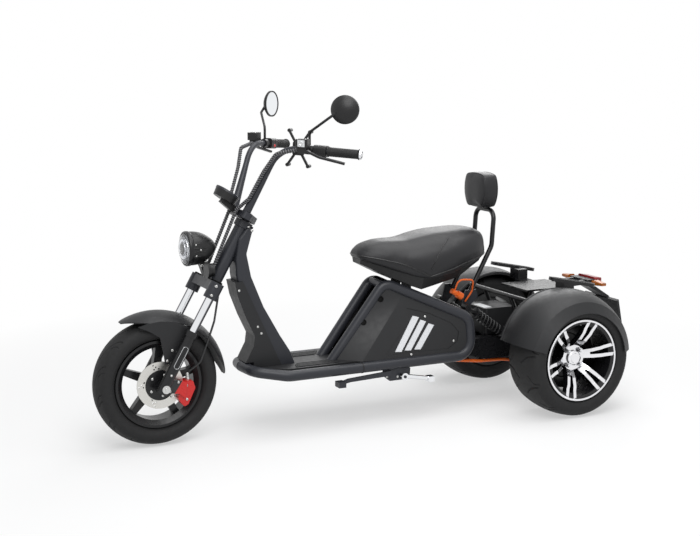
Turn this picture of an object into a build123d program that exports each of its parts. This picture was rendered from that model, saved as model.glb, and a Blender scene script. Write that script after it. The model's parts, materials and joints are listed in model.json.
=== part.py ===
"""Electric trike: one steered front wheel, two wide driven rear wheels, a low step-through deck,
a saddle with a small backrest, rear mudguards and a tail carrier.
Frame: +X forward, +Y to the rider's left, +Z up, millimetres, ground at Z = 0."""
from math import cos, radians, sin
import os

from build123d import *

os.makedirs("parts", exist_ok=True)

# clearance between pieces that fit together
FIT = 0.3

# wheels
WHEELBASE = 1658.0
REAR_AXLE_X = -722.0
FRONT_AXLE_X = REAR_AXLE_X + WHEELBASE
WHEEL_R = 240.0
FRONT_TYRE_W = 130.0
REAR_TYRE_W = 215.0
REAR_TYRE_Y = 342.0
BEAD_R = 154.5
RIM_FLANGE_R = BEAD_R + 13.5
BEAD_FIT = 0.5
SIDEWALL_R = (WHEEL_R + RIM_FLANGE_R) / 2 - 4
RIM_IN = BEAD_R - 14.5
BARREL_IN = BEAD_R - 6.5
FRONT_AXLE_R = 7.5
REAR_SHAFT_R = 14.0
FRONT_SPOKES = 5
REAR_SPOKES = 6
NUT_CIRCLE_R = 41.0
DISC_R = 90.0
DISC_IN = 58.0
MOTOR_R = 90.0

# fork, head and steering
RAKE = 30.0
STEER_OFFSET = 26.0
LEG_Y = 104.0
LEG_R = 16.5
SLIDER_R = 21.0
SLIDER_TOP = 234.0
CROWN_LOW = 372.0
CROWN_TOP = 438.0
HEAD_LOW = 444.0
HEAD_TOP = 698.0
HEAD_R = 28.0
STEM_R = 15.0

# frame, deck and body
RAIL_R = 21.0
RAIL_Y = 150.0
RAIL_Z = WHEEL_R
DECK_Z = RAIL_Z + 22.0
NECK_HALF = 42.0
NECK_EDGE = 10.0

# rear mudguards: a section swept round the axle
GUARD_FRONT_DEG = 15.0
GUARD_SWEEP_DEG = 160.0
GUARD_GAP = 34.0
GUARD_R = WHEEL_R + GUARD_GAP

# handlebar
BAR_R = 11.0
FRONT_AXLE = Vector(FRONT_AXLE_X, 0, WHEEL_R)
RISER_FOOT = FRONT_AXLE + Vector(-351, 62, 628)
BAR_BEND = FRONT_AXLE + Vector(-462, 143, 882)
BAR_END = FRONT_AXLE + Vector(-695, 343, 860)
REAR_AXLE = Vector(REAR_AXLE_X, 0, WHEEL_R)
SR = sin(radians(RAKE))
CR = cos(radians(RAKE))
FORK = Plane(origin=FRONT_AXLE, x_dir=(CR, 0, SR), z_dir=(-SR, 0, CR))
BAR_DIR = (BAR_END - BAR_BEND).normalized()
LEVER_AWAY = Vector(BAR_DIR.Y, -BAR_DIR.X, 0).normalized()
CLAMP_UP = LEVER_AWAY.cross(BAR_DIR)
# side views: heights count from the axles, lengths from mid-frame or from one of the axles
SIDE = Plane(origin=(0, 0, WHEEL_R), x_dir=(1, 0, 0), z_dir=(0, -1, 0))
SIDE_FRONT = Plane(origin=FRONT_AXLE, x_dir=(1, 0, 0), z_dir=(0, -1, 0))
SIDE_REAR = Plane(origin=REAR_AXLE, x_dir=(1, 0, 0), z_dir=(0, -1, 0))


def mid(x, y, z):
    """A point by its distance from mid-frame and its height over the axles."""
    return Vector(x, y, WHEEL_R + z)


def front(x, y, z):
    """A point by its distance from the front axle."""
    return FRONT_AXLE + Vector(x, y, z)


def rear(x, y, z):
    """A point by its distance from the rear axle."""
    return REAR_AXLE + Vector(x, y, z)


# frame rails: one tube a side, round the nose, along the deck, up at the rear, forward and in to the
# seat's nose, and down a front leg that stands on the deck near its middle
LOOP_LOW = mid(-372, RAIL_Y, 0)
LOOP_BACK = mid(-360, RAIL_Y, 160)
LOOP_TOP = mid(-12, 58, 316)
LOOP_FOOT = mid(232, 49, -2)
# columns: X, height over the axle, radius, half length
CROSS_TUBES = (
    (FRONT_AXLE_X - 536, -8, 14, RAIL_Y),
    (-150, -4, 14, RAIL_Y),
    (-330, 22, 16, RAIL_Y),
    (-364, 100, 14, RAIL_Y),
    (-120, 268, 14, 86),
    (-10, 306, 16, 58),
)
with BuildPart() as frame_rails:
    with BuildLine() as rail_path:
        FilletPolyline(
            front(-351, 0, 22),
            front(-366, 96, 18),
            front(-486, RAIL_Y, 0),
            LOOP_LOW,
            LOOP_BACK,
            LOOP_TOP,
            LOOP_FOOT,
            radius=(60, 80, 64, 64, 46),
        )
    with BuildSketch(Plane(rail_path.line @ 0, z_dir=rail_path.line % 0)):
        Circle(RAIL_R)
    sweep(path=rail_path.line)
    with BuildSketch(Plane.XY.offset(DECK_Z + FIT)):
        with Locations((LOOP_FOOT.X, LOOP_FOOT.Y)):
            Rectangle(160, 90)
    extrude(amount=-60, mode=Mode.SUBTRACT)
    for cross_x, cross_z, cross_r, cross_half in CROSS_TUBES:
        with BuildSketch(SIDE.offset(-cross_half)):
            with Locations((cross_x, cross_z)):
                Circle(cross_r)
        extrude(amount=cross_half)
    mirror(about=Plane.XZ)
frame_rails.part.label = "frame_rails"
export_step(frame_rails.part, "parts/frame_rails.step")

# deck board between the rails, with a rounded nose and raised grip ribs
# columns: distance to the side, front end and rear end behind the front axle
DECK_RIBS = ((58, -560, -694), (74, -548, -706), (90, -540, -716), (106, -536, -724))
DECK_NOSE = FRONT_AXLE_X - 391
DECK_HALF = RAIL_Y - RAIL_R - 2
with BuildPart() as foot_deck:
    with BuildSketch(Plane.XY.offset(DECK_Z - 16)):
        with BuildLine():
            FilletPolyline(
                (-20, -DECK_HALF),
                (DECK_NOSE - 105, -DECK_HALF),
                (DECK_NOSE, -70),
                (DECK_NOSE, 70),
                (DECK_NOSE - 105, DECK_HALF),
                (-20, DECK_HALF),
                radius=(60, 50, 50, 60),
            )
            Line((-20, DECK_HALF), (-20, -DECK_HALF))
        make_face()
    extrude(amount=16)
    with BuildSketch(Plane.XY.offset(DECK_Z)):
        for rib_y, rib_front, rib_rear in DECK_RIBS:
            for rib_side in (-rib_y, rib_y):
                with Locations((FRONT_AXLE_X + (rib_front + rib_rear) / 2, rib_side)):
                    SlotOverall(rib_front - rib_rear, 7)
    extrude(amount=3)
foot_deck.part.label = "foot_deck"
export_step(foot_deck.part, "parts/foot_deck.step")

# neck: a pressed box spine from the deck up to the head tube
NECK_REAR = ((-562, 22.2), (-542, 72), (-500, 138), (-432, 258), (-382, 380), (-364, 470), (-394, 572))
NECK_FRONT = ((-361, 566), (-332, 530), (-318, 450), (-320, 390), (-334, 316), (-366, 230), (-402, 152),
              (-396, 100), (-380, 64), (-380, 22.2))
with BuildPart() as neck:
    with BuildSketch(SIDE_FRONT):
        Polygon(*NECK_REAR, *NECK_FRONT, align=None)
        fillet([v for v in vertices() if 70 < v.Y < 560], radius=24)
    extrude(amount=NECK_HALF, both=True)
    side_edges = [e for e in edges() if abs(abs(e.center().Y) - NECK_HALF) < 0.1]
    rounded = [e for e in side_edges if 26 < e.center().Z - WHEEL_R < 560]
    fillet(rounded, radius=NECK_EDGE)
    with BuildSketch(FORK.offset(HEAD_LOW)):
        with Locations((-STEER_OFFSET, 0)):
            Circle(HEAD_R)
    extrude(amount=HEAD_TOP - HEAD_LOW)
    with BuildSketch(FORK.offset(HEAD_TOP - 26)):
        with Locations((-STEER_OFFSET, 0)):
            Circle(HEAD_R + 7)
    extrude(amount=26)
    with BuildSketch(FORK.offset(HEAD_LOW - 5)):
        with Locations((-STEER_OFFSET, 0)):
            Circle(STEM_R + FIT)
    extrude(amount=HEAD_TOP - HEAD_LOW + 10, mode=Mode.SUBTRACT)
neck.part.label = "neck"
export_step(neck.part, "parts/neck.step")

# bolted front cover that wraps the lower half of the neck and flares over the deck
with BuildPart() as neck_cover:
    with BuildSketch(SIDE_FRONT):
        Polygon(
            (-343, 366), (-310, 364), (-322, 305), (-354, 222), (-389, 148), (-384, 108),
            (-360, 64), (-350, 45),
            (-384, 45), (-384, 22.2), (-500, 22.2),
            align=None,
        )
    extrude(amount=NECK_HALF + 6, both=True)
    with BuildSketch(SIDE_FRONT):
        Polygon(*NECK_REAR, *NECK_FRONT, align=None)
        fillet([v for v in vertices() if 70 < v.Y < 560], radius=24)
        offset(amount=0.4, mode=Mode.REPLACE)
    extrude(amount=NECK_HALF + 0.3, both=True, mode=Mode.SUBTRACT)
neck_cover.part.label = "neck_cover"
export_step(neck_cover.part, "parts/neck_cover.step")

# battery case between the rails, one plain block
with BuildPart() as battery_case:
    with BuildSketch(SIDE):
        Polygon((165, 22.6), (10, 225), (-20, 244), (-70, 225), (-280, 60), (-270, 22.6), align=None)
    extrude(amount=68, both=True)
battery_case.part.label = "battery_case"
export_step(battery_case.part, "parts/battery_case.step")

# side panels: a ruled skin from the rails' rear bend to a slanted ridge, and on inward to the front leg
# columns: lower end, upper end and outward direction of each of the panel's upright lines
PANEL_LINES = (
    (mid(-352, RAIL_Y, 10), mid(-352, RAIL_Y, 150), Vector(0, 1, 0)),
    (mid(130, RAIL_Y - 10, 22.6), mid(-94, 78, 275), Vector(0, 1, 0)),
    (mid(206, 64, 22.6), mid(-4, 71, 295), Vector(1, 0, 0)),
)
PANEL_RECESS = (
    (-62, 222), (-100, 196), (-98, 160), (30, 36), (-262, 36), (-304, 62), (-312, 104), (-280, 142),
    (-190, 186),
)


def panel_skin(inner, outer):
    """The panel's skin between two depths, counted outward from its upright lines."""
    rings = []
    for low, top, out in PANEL_LINES:
        ring = (low + out * inner, low + out * outer, top + out * outer, top + out * inner)
        rings.append(Face(Wire.make_polygon(ring, close=True)))
    loft(sections=rings, ruled=True)


for side_name in ("left", "right"):
    with BuildPart() as panel_dip:
        panel_skin(3, 12)
        with BuildSketch(SIDE.offset(-60)):
            Polygon(*PANEL_RECESS, align=None)
            fillet(vertices(), radius=6)
        extrude(amount=-140, mode=Mode.INTERSECT)
    with BuildPart() as side_panel:
        panel_skin(-6, 6)
        add(panel_dip.part, mode=Mode.SUBTRACT)
        add(frame_rails.part, mode=Mode.SUBTRACT)
        if side_name == "right":
            mirror(about=Plane.XZ, mode=Mode.REPLACE)
    side_panel.part.label = "side_panel_" + side_name
    export_step(side_panel.part, "parts/side_panel_" + side_name + ".step")

# slanted pale bars let into the side panels
# columns: upper rear and front X, upper height, lower rear and front X, lower height
BARS = (
    (-141, -115, 173, -48, -20, 46),
    (-170, -147, 155, -91, -63, 48),
    (-204, -181, 138, -135, -107, 48),
)
with BuildPart() as panel_bars:
    panel_skin(3.2, 5.6)
    with BuildSketch(SIDE.offset(-60)):
        for top_rear, top_front, top_z, low_rear, low_front, low_z in BARS:
            Polygon(
                (top_rear, top_z), (top_front, top_z + 8), (low_front, low_z), (low_rear, low_z - 2), align=None
            )
    extrude(amount=-140, mode=Mode.INTERSECT)
    mirror(about=Plane.XZ)
panel_bars.part.label = "panel_bars"
export_step(panel_bars.part, "parts/panel_bars.step")

# saddle: a loft of few rounded sections, from the narrow nose over the deep middle to the tail
# columns: station X, bottom seam Z, top Z, half width
SEAT_SECTIONS = (
    (96, 424, 450, 34),
    (60, 404, 472, 74),
    (-40, 370, 486, 118),
    (-170, 334, 496, 158),
    (-330, 360, 512, 160),
    (-440, 394, 514, 120),
    (-484, 414, 482, 62),
)
with BuildPart() as seat_cushion:
    for seat_x, seam_z, top_z, half in SEAT_SECTIONS:
        rise = top_z - seam_z
        with BuildSketch(Plane(origin=mid(seat_x, 0, seam_z), x_dir=(0, 1, 0), z_dir=(1, 0, 0))):
            with BuildLine():
                Line((-half * 0.86, 0), (half * 0.86, 0))
                ThreePointArc((half * 0.86, 0), (half, rise * 0.32), (half * 0.9, rise * 0.68))
                ThreePointArc((half * 0.9, rise * 0.68), (half * 0.74, rise * 0.88), (half * 0.5, rise * 0.965))
                ThreePointArc((half * 0.5, rise * 0.965), (0, rise), (-half * 0.5, rise * 0.965))
                ThreePointArc((-half * 0.5, rise * 0.965), (-half * 0.74, rise * 0.88), (-half * 0.9, rise * 0.68))
                ThreePointArc((-half * 0.9, rise * 0.68), (-half, rise * 0.32), (-half * 0.86, 0))
            make_face()
    loft()
seat_cushion.part.label = "seat_cushion"
export_step(seat_cushion.part, "parts/seat_cushion.step")

# seat pan under the cushion, stepped in from its edge
# columns: station X, bottom Z, seam Z, half width
PAN_SECTIONS = (
    (84, 396, 415, 38),
    (-40, 336, 369, 92),
    (-160, 284, 335, 126),
    (-330, 322, 359, 128),
    (-450, 378, 396, 88),
)
with BuildPart() as seat_pan:
    for pan_x, low_z, seam_z, half in PAN_SECTIONS:
        with BuildSketch(Plane(origin=mid(pan_x, 0, low_z), x_dir=(0, 1, 0), z_dir=(1, 0, 0))):
            Polygon(
                (-half * 0.82, 0), (half * 0.82, 0), (half, seam_z - low_z), (-half, seam_z - low_z),
                align=None,
            )
    loft(ruled=True)
    add(seat_cushion.part, mode=Mode.SUBTRACT)
seat_pan.part.label = "seat_pan"
export_step(seat_pan.part, "parts/seat_pan.step")

# seat posts: two cross-tied plates from the top cross tube and the rear rails to the pan
with BuildPart() as seat_posts:
    for post_y in (-46, 46):
        with BuildSketch(SIDE.offset(-post_y - 4)):
            Polygon((-142, 282.2), (-100, 282.2), (-100, 309.7), (-142, 291.5), align=None)
        extrude(amount=8)
    for post_y in (-84.2, 84.2):
        with BuildSketch(SIDE.offset(-post_y - 4)):
            Polygon(
                (-376, 114.2), (-342, 114.2), (-380, 260), (-430, 260), (-440, 230), (-388, 180), align=None
            )
        extrude(amount=8)
seat_posts.part.label = "seat_posts"
export_step(seat_posts.part, "parts/seat_posts.step")

# backrest: a bent tube hoop and its pad
with BuildPart() as backrest_hoop:
    with BuildLine() as hoop_path:
        FilletPolyline(
            mid(-410, 70, 248),
            mid(-514, 70, 436),
            mid(-524, 70, 584),
            mid(-524, -70, 584),
            mid(-514, -70, 436),
            mid(-410, -70, 248),
            radius=(60, 40, 40, 60),
        )
    with BuildSketch(Plane(hoop_path.line @ 0, z_dir=hoop_path.line % 0)):
        Circle(10)
    sweep(path=hoop_path.line)
backrest_hoop.part.label = "backrest_hoop"
export_step(backrest_hoop.part, "parts/backrest_hoop.step")

with BuildPart() as backrest_pad:
    with BuildSketch(Plane(origin=mid(-540, 0, 594.2), x_dir=(0, 1, 0), z_dir=(1, 0, 0))):
        with BuildLine():
            Polyline((-60, 0), (60, 0))
            ThreePointArc((60, 0), (88, 70), (70, 140))
            ThreePointArc((70, 140), (0, 148), (-70, 140))
            ThreePointArc((-70, 140), (-88, 70), (-60, 0))
        make_face()
    extrude(amount=76)
    fillet(edges(), radius=12)
backrest_pad.part.label = "backrest_pad"
export_step(backrest_pad.part, "parts/backrest_pad.step")

# swinging arm: two box beams and a tie plate from the rails' rear bend to the axle case
with BuildPart() as swing_arm:
    for beam_y in (-92, 92):
        with BuildSketch(SIDE.offset(-beam_y - 22)):
            Polygon((-346.2, -2), (-346.2, 46), (-484, 60), (-536, 48),
                    (REAR_AXLE_X + 80, 40), (REAR_AXLE_X + 80, -36), (-470, -36), align=None)
        extrude(amount=44)
    with Locations(mid(-500, 0, 12)):
        Box(70, 140, 60)
    with BuildSketch(Plane.XZ.offset(130)):
        with Locations((REAR_AXLE_X, WHEEL_R)):
            Circle(MOTOR_R + FIT)
    extrude(amount=-260, mode=Mode.SUBTRACT)
swing_arm.part.label = "swing_arm"
export_step(swing_arm.part, "parts/swing_arm.step")

# motor and differential case with the axle tubes and turning shafts' bearings
with BuildPart() as axle_case:
    with BuildSketch(Plane.XZ.offset(110)):
        with Locations((REAR_AXLE_X, WHEEL_R)):
            Circle(MOTOR_R)
    extrude(amount=-220)
    with BuildSketch(Plane.XZ.offset(236)):
        with Locations((REAR_AXLE_X, WHEEL_R)):
            Circle(30)
    extrude(amount=-472)
    with BuildSketch(Plane.XZ.offset(374)):
        with Locations((REAR_AXLE_X, WHEEL_R)):
            Circle(REAR_SHAFT_R)
    extrude(amount=-748)
axle_case.part.label = "axle_case"
export_step(axle_case.part, "parts/axle_case.step")

# controller case in front of the axle
with BuildPart() as controller_case:
    with Locations(rear(162, 0, 115)):
        Box(152, 156, 110)
    fillet(edges().filter_by(Axis.Z), radius=14)
controller_case.part.label = "controller_case"
export_step(controller_case.part, "parts/controller_case.step")

# coil-over shocks: damper with eyes, and a spring drawn as a ribbed sleeve
SHOCK_TOP = mid(-372, 112, 192)
SHOCK_LOW = mid(-560, 112, 61.8)
SHOCK_LEN = (SHOCK_TOP - SHOCK_LOW).length
SHOCK = Plane(origin=SHOCK_LOW, x_dir=(0, 1, 0), z_dir=SHOCK_TOP - SHOCK_LOW)
with BuildPart() as shock_dampers:
    with BuildSketch(SHOCK):
        Circle(9)
    extrude(amount=SHOCK_LEN)
    with BuildSketch(SHOCK.offset(SHOCK_LEN - 52)):
        Circle(26)
    extrude(amount=8)
    with BuildSketch(SHOCK.offset(24)):
        Circle(26)
    extrude(amount=8)
    for eye in (SHOCK_TOP, SHOCK_LOW):
        with BuildSketch(Plane(origin=eye + Vector(0, 14, 0), x_dir=(1, 0, 0), z_dir=(0, -1, 0))):
            Circle(15)
        extrude(amount=37.5)
    mirror(about=Plane.XZ)
shock_dampers.part.label = "shock_dampers"
export_step(shock_dampers.part, "parts/shock_dampers.step")

SPRING_TURNS = 7
SPRING_LOW = 32.0
SPRING_PITCH = (SHOCK_LEN - 52 - SPRING_LOW) / SPRING_TURNS
with BuildPart() as shock_springs:
    with BuildSketch(Plane(origin=SHOCK_LOW, x_dir=(0, 1, 0), z_dir=SHOCK.y_dir * -1)):
        with BuildLine():
            Line((9.4, SPRING_LOW), (17, SPRING_LOW))
            for turn in range(SPRING_TURNS):
                foot = SPRING_LOW + turn * SPRING_PITCH
                ThreePointArc((17, foot), (23, foot + SPRING_PITCH / 2), (17, foot + SPRING_PITCH))
            Line((17, SPRING_LOW + SPRING_TURNS * SPRING_PITCH), (9.4, SPRING_LOW + SPRING_TURNS * SPRING_PITCH))
            Line((9.4, SPRING_LOW + SPRING_TURNS * SPRING_PITCH), (9.4, SPRING_LOW))
        make_face()
    revolve(axis=Axis(SHOCK_LOW, SHOCK.z_dir))
    mirror(about=Plane.XZ)
shock_springs.part.label = "shock_springs"
export_step(shock_springs.part, "parts/shock_springs.step")

# charging plug with its looped lead, and the conduit that runs under the swing arm to the motor
with BuildPart() as power_leads:
    with BuildSketch(Plane(origin=mid(-300, 108, 268), x_dir=(0, 1, 0), z_dir=(-0.86, 0, -0.5))):
        Circle(11)
    extrude(amount=30)
    with BuildSketch(Plane(origin=mid(-325.8, 108, 253), x_dir=(0, 1, 0), z_dir=(-0.86, 0, -0.5))):
        Circle(15)
    extrude(amount=26)
    with BuildLine() as lead_path:
        FilletPolyline(
            mid(-312, 108, 262),
            mid(-316, 137, 318),
            mid(-386, 137, 312),
            mid(-398, 110, 262),
            mid(-376, 92, 214),
            radius=(22, 22, 24),
        )
    with BuildSketch(Plane(lead_path.line @ 0, z_dir=lead_path.line % 0)):
        Circle(3.5)
    sweep(path=lead_path.line)
    with BuildLine() as conduit_path:
        FilletPolyline(
            mid(-164.6, 104, -10),
            mid(-250, 104, -18),
            mid(-440, 100, -44),
            rear(162, 96, -50),
            rear(70, 92, -66),
            radius=(60, 60, 60),
        )
    with BuildSketch(Plane(conduit_path.line @ 0, z_dir=conduit_path.line % 0)):
        Circle(7)
    sweep(path=conduit_path.line)
power_leads.part.label = "power_leads"
export_step(power_leads.part, "parts/power_leads.step")

# rear mudguards: crowned shell, flared outer lip and rolled inner edge, swept round the axle
GUARD_RADIAL = Vector(cos(radians(GUARD_FRONT_DEG)), 0, sin(radians(GUARD_FRONT_DEG)))
GUARD_NORMAL = Vector(sin(radians(GUARD_FRONT_DEG)), 0, -cos(radians(GUARD_FRONT_DEG)))
for side_name, side_sign in (("left", 1), ("right", -1)):
    guard_axle = Vector(REAR_AXLE_X, side_sign * REAR_TYRE_Y, WHEEL_R)
    with BuildPart() as mudguard:
        with BuildSketch(Plane(guard_axle, x_dir=(0, side_sign, 0), z_dir=GUARD_NORMAL * side_sign)):
            with BuildLine():
                ThreePointArc((-114, GUARD_R - 13), (-10, GUARD_R), (94, GUARD_R - 34))
                Line((94, GUARD_R - 34), (123, GUARD_R - 75))
                Line((123, GUARD_R - 75), (119, GUARD_R - 77))
                Line((119, GUARD_R - 77), (91, GUARD_R - 38))
                ThreePointArc((91, GUARD_R - 38), (-10, GUARD_R - 4), (-114, GUARD_R - 17))
                Line((-114, GUARD_R - 17), (-114, GUARD_R - 13))
            make_face()
            with Locations((-116, GUARD_R - 15)):
                Circle(7)
        revolve(axis=Axis(guard_axle, (0, -1, 0)), revolution_arc=GUARD_SWEEP_DEG)
    mudguard.part.label = "rear_mudguard_" + side_name
    export_step(mudguard.part, "parts/rear_mudguard_" + side_name + ".step")

# carrier frame between the mudguards
CARRIER_R = 9.0
CARRIER_Z = WHEEL_R + 221.0
RACK_LOW = CARRIER_Z + CARRIER_R
RACK_THICK = 8.0
RACK_TOP = RACK_LOW + RACK_THICK
RACK_LONG = 230.0
RACK_WIDE = 200.0
with BuildPart() as guard_carrier:
    for tube_x in (130, -130):
        with BuildSketch(Plane.XZ.offset(218)):
            with Locations((REAR_AXLE_X + tube_x, CARRIER_Z)):
                Circle(CARRIER_R)
        extrude(amount=-436)
        for strut_y in (-100, 100):
            with BuildLine() as strut:
                Line(
                    (REAR_AXLE_X + tube_x, strut_y, CARRIER_Z), (REAR_AXLE_X + tube_x * 0.45, strut_y, WHEEL_R + 60)
                )
            with BuildSketch(Plane(strut.line @ 0, z_dir=strut.line % 0)):
                Circle(CARRIER_R)
            sweep(path=strut.line)
    with BuildSketch(Plane.XZ.offset(120)):
        with Locations((REAR_AXLE_X, WHEEL_R)):
            Circle(MOTOR_R + FIT)
    extrude(amount=-240, mode=Mode.SUBTRACT)
guard_carrier.part.label = "guard_carrier"
export_step(guard_carrier.part, "parts/guard_carrier.step")

# rear rack: side loops, slats and a plate drilled for luggage
with BuildPart() as rear_rack:
    with Locations((REAR_AXLE_X - 70, 0, RACK_LOW + RACK_THICK / 2)):
        Box(RACK_LONG, RACK_WIDE, RACK_THICK)
    for bolt_x in (-150, 10):
        for bolt_y in (-75, 75):
            with Locations((REAR_AXLE_X + bolt_x, bolt_y, RACK_LOW)):
                Cylinder(3.3, 30, mode=Mode.SUBTRACT)
rear_rack.part.label = "rear_rack"
export_step(rear_rack.part, "parts/rear_rack.step")

# looped side handles on the rack
with BuildPart() as rack_handles:
    with BuildSketch(Plane(origin=(REAR_AXLE_X - 96, 224, RACK_TOP + 46), x_dir=(1, 0, 0.2), z_dir=(-0.2, 0, 1))):
        SlotOverall(226, 64)
        SlotOverall(196, 36, mode=Mode.SUBTRACT)
    extrude(amount=7, both=True)
    with Locations((REAR_AXLE_X - 96, RACK_WIDE / 2 + FIT, RACK_LOW)):
        Box(60, 60, RACK_THICK, align=(Align.CENTER, Align.MIN, Align.MIN))
    with Locations((REAR_AXLE_X - 96, 174, RACK_TOP + 21)):
        Box(50, 64, 44)
    mirror(about=Plane.XZ)
rack_handles.part.label = "rack_handles"
export_step(rack_handles.part, "parts/rack_handles.step")

# tail arm with its lamp, signals and the blank plate holder
with BuildPart() as tail_arm:
    for arm_y in (-40, 40):
        with BuildSketch(SIDE_REAR.offset(-arm_y - 9)):
            Polygon((-185.2, 224), (-185.2, 240), (-338, 250), (-338, 228), align=None)
        extrude(amount=18)
    with Locations(rear(-318, 0, 239)):
        Box(40, 130, 22)
    with BuildSketch(SIDE_REAR):
        Polygon((-318, 228), (-318, 218), (-428, 156), (-440, 162), (-336, 228), align=None)
    extrude(amount=40, both=True)
    with BuildSketch(SIDE_REAR):
        Polygon((-428, 162), (-418, 156), (-446, 28), (-455, 30), align=None)
    extrude(amount=120, both=True)
tail_arm.part.label = "tail_arm"
export_step(tail_arm.part, "parts/tail_arm.step")

with BuildPart() as tail_lamp:
    with BuildSketch(Plane(origin=rear(-338.2, 0, 244), x_dir=(0, 1, 0), z_dir=(-1, 0, 0))):
        RectangleRounded(120, 30, 10)
    extrude(amount=42, taper=8)
tail_lamp.part.label = "tail_lamp"
export_step(tail_lamp.part, "parts/tail_lamp.step")

with BuildPart() as rear_signals:
    with BuildSketch(Plane(origin=rear(-324, 65.2, 240), x_dir=(1, 0, 0), z_dir=(0, 1, 0))):
        Circle(6)
    extrude(amount=26)
    with BuildSketch(Plane(origin=rear(-324, 90, 240), x_dir=(1, 0, 0), z_dir=(0, 1, 0))):
        RectangleRounded(36, 24, 9)
    extrude(amount=56, taper=6)
    mirror(about=Plane.XZ)
rear_signals.part.label = "rear_signals"
export_step(rear_signals.part, "parts/rear_signals.step")

# plate under the left rail that carries the stand and the foot pedal
STAND_PIVOT = mid(-48, 150, -52)
with BuildPart() as stand_plate:
    with BuildSketch(SIDE.offset(-154)):
        Polygon((-80, -68), (-84, -21.2), (40, -21.2), (40, -44), (10, -68), align=None)
        fillet(vertices(), radius=5)
    extrude(amount=8)
    with BuildSketch(SIDE.offset(-154)):
        with Locations((STAND_PIVOT.X, STAND_PIVOT.Z - WHEEL_R)):
            Circle(6)
    extrude(amount=-26)
stand_plate.part.label = "stand_plate"
export_step(stand_plate.part, "parts/stand_plate.step")

with BuildPart() as side_stand:
    with BuildSketch(SIDE.offset(-155)):
        with Locations((STAND_PIVOT.X, STAND_PIVOT.Z - WHEEL_R)):
            Circle(15)
    extrude(amount=-22)
    with BuildLine() as stand_leg:
        Line(mid(-56, 166, -52), mid(-168, 166, -74))
    with BuildSketch(Plane(stand_leg.line @ 0, z_dir=stand_leg.line % 0)):
        Circle(9)
    sweep(path=stand_leg.line)
    with Locations(mid(-168, 166, -74)):
        Box(26, 30, 22)
    with BuildSketch(SIDE.offset(-150)):
        with Locations((STAND_PIVOT.X, STAND_PIVOT.Z - WHEEL_R)):
            Circle(6 + FIT)
    extrude(amount=-34, mode=Mode.SUBTRACT)
side_stand.part.label = "side_stand"
export_step(side_stand.part, "parts/side_stand.step")

with BuildPart() as foot_pedal:
    with BuildSketch(SIDE.offset(-164.2)):
        Polygon((8, -44), (8, -24), (200, -36), (226, -44), (226, -56), (190, -50), align=None)
    extrude(amount=10)
    with Locations(mid(232, 160, -54)):
        Box(30, 40, 22)
foot_pedal.part.label = "foot_pedal"
export_step(foot_pedal.part, "parts/foot_pedal.step")

# fork crown with its steering stem
with BuildPart() as fork_crown:
    with BuildSketch(FORK.offset(CROWN_LOW + 28)):
        with BuildLine():
            Polyline(
                (22, -LEG_Y), (18, -40), (18, 40), (22, LEG_Y), (-20, LEG_Y + 4), (-62, 24), (-62, -24),
                (-20, -LEG_Y - 4), close=True,
            )
        make_face()
    extrude(amount=CROWN_TOP - CROWN_LOW - 28)
    with BuildSketch(FORK.offset(CROWN_LOW)):
        with Locations((0, LEG_Y), (0, -LEG_Y)):
            Circle(27)
    extrude(amount=CROWN_TOP - CROWN_LOW)
    with BuildSketch(FORK.offset(CROWN_LOW - 1)):
        with Locations((0, LEG_Y), (0, -LEG_Y)):
            Circle(LEG_R + FIT)
    extrude(amount=CROWN_TOP - CROWN_LOW + 2, mode=Mode.SUBTRACT)
    with BuildSketch(FORK.offset(CROWN_TOP - 4)):
        with Locations((-STEER_OFFSET, 0)):
            Circle(STEM_R)
    extrude(amount=HEAD_TOP + 8 - CROWN_TOP + 4)
fork_crown.part.label = "fork_crown"
export_step(fork_crown.part, "parts/fork_crown.step")

with BuildPart() as fork_tubes:
    with BuildSketch(FORK.offset(SLIDER_TOP + 0.2)):
        with Locations((0, LEG_Y), (0, -LEG_Y)):
            Circle(LEG_R)
    extrude(amount=CROWN_TOP + 4 - SLIDER_TOP)
fork_tubes.part.label = "fork_tubes"
export_step(fork_tubes.part, "parts/fork_tubes.step")

with BuildPart() as fork_sliders:
    with BuildSketch(FORK.offset(-24)):
        with Locations((0, LEG_Y), (0, -LEG_Y)):
            Circle(SLIDER_R)
    extrude(amount=SLIDER_TOP + 24)
    with BuildSketch(FORK.offset(SLIDER_TOP - 22)):
        with Locations((0, LEG_Y), (0, -LEG_Y)):
            Circle(SLIDER_R + 4)
    extrude(amount=22)
    with BuildSketch(Plane.XZ.offset(LEG_Y + 22)):
        with Locations((FRONT_AXLE_X, WHEEL_R)):
            Circle(FRONT_AXLE_R + FIT)
    extrude(amount=-2 * LEG_Y - 44, mode=Mode.SUBTRACT)
    for pocket_y in (-LEG_Y - SLIDER_R, LEG_Y + SLIDER_R - 3):
        pocket_at = FORK.from_local_coords(Vector(0, pocket_y, 128))
        with BuildSketch(Plane(pocket_at, x_dir=FORK.z_dir, z_dir=(0, 1, 0))):
            SlotOverall(92, 26)
        extrude(amount=3, mode=Mode.SUBTRACT)
fork_sliders.part.label = "fork_sliders"
export_step(fork_sliders.part, "parts/fork_sliders.step")

with BuildPart() as front_axle:
    with BuildSketch(Plane.XZ.offset(LEG_Y + 30)):
        with Locations((FRONT_AXLE_X, WHEEL_R)):
            Circle(FRONT_AXLE_R)
    extrude(amount=-2 * LEG_Y - 60)
    with BuildSketch(Plane.XZ.offset(-LEG_Y - SLIDER_R - 1)):
        with Locations((FRONT_AXLE_X, WHEEL_R)):
            RegularPolygon(14, 6)
    extrude(amount=-11)
    with BuildSketch(Plane.XZ.offset(LEG_Y + SLIDER_R + 12)):
        with Locations((FRONT_AXLE_X, WHEEL_R)):
            RegularPolygon(14, 6)
    extrude(amount=-11)
front_axle.part.label = "front_axle"
export_step(front_axle.part, "parts/front_axle.step")

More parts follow.
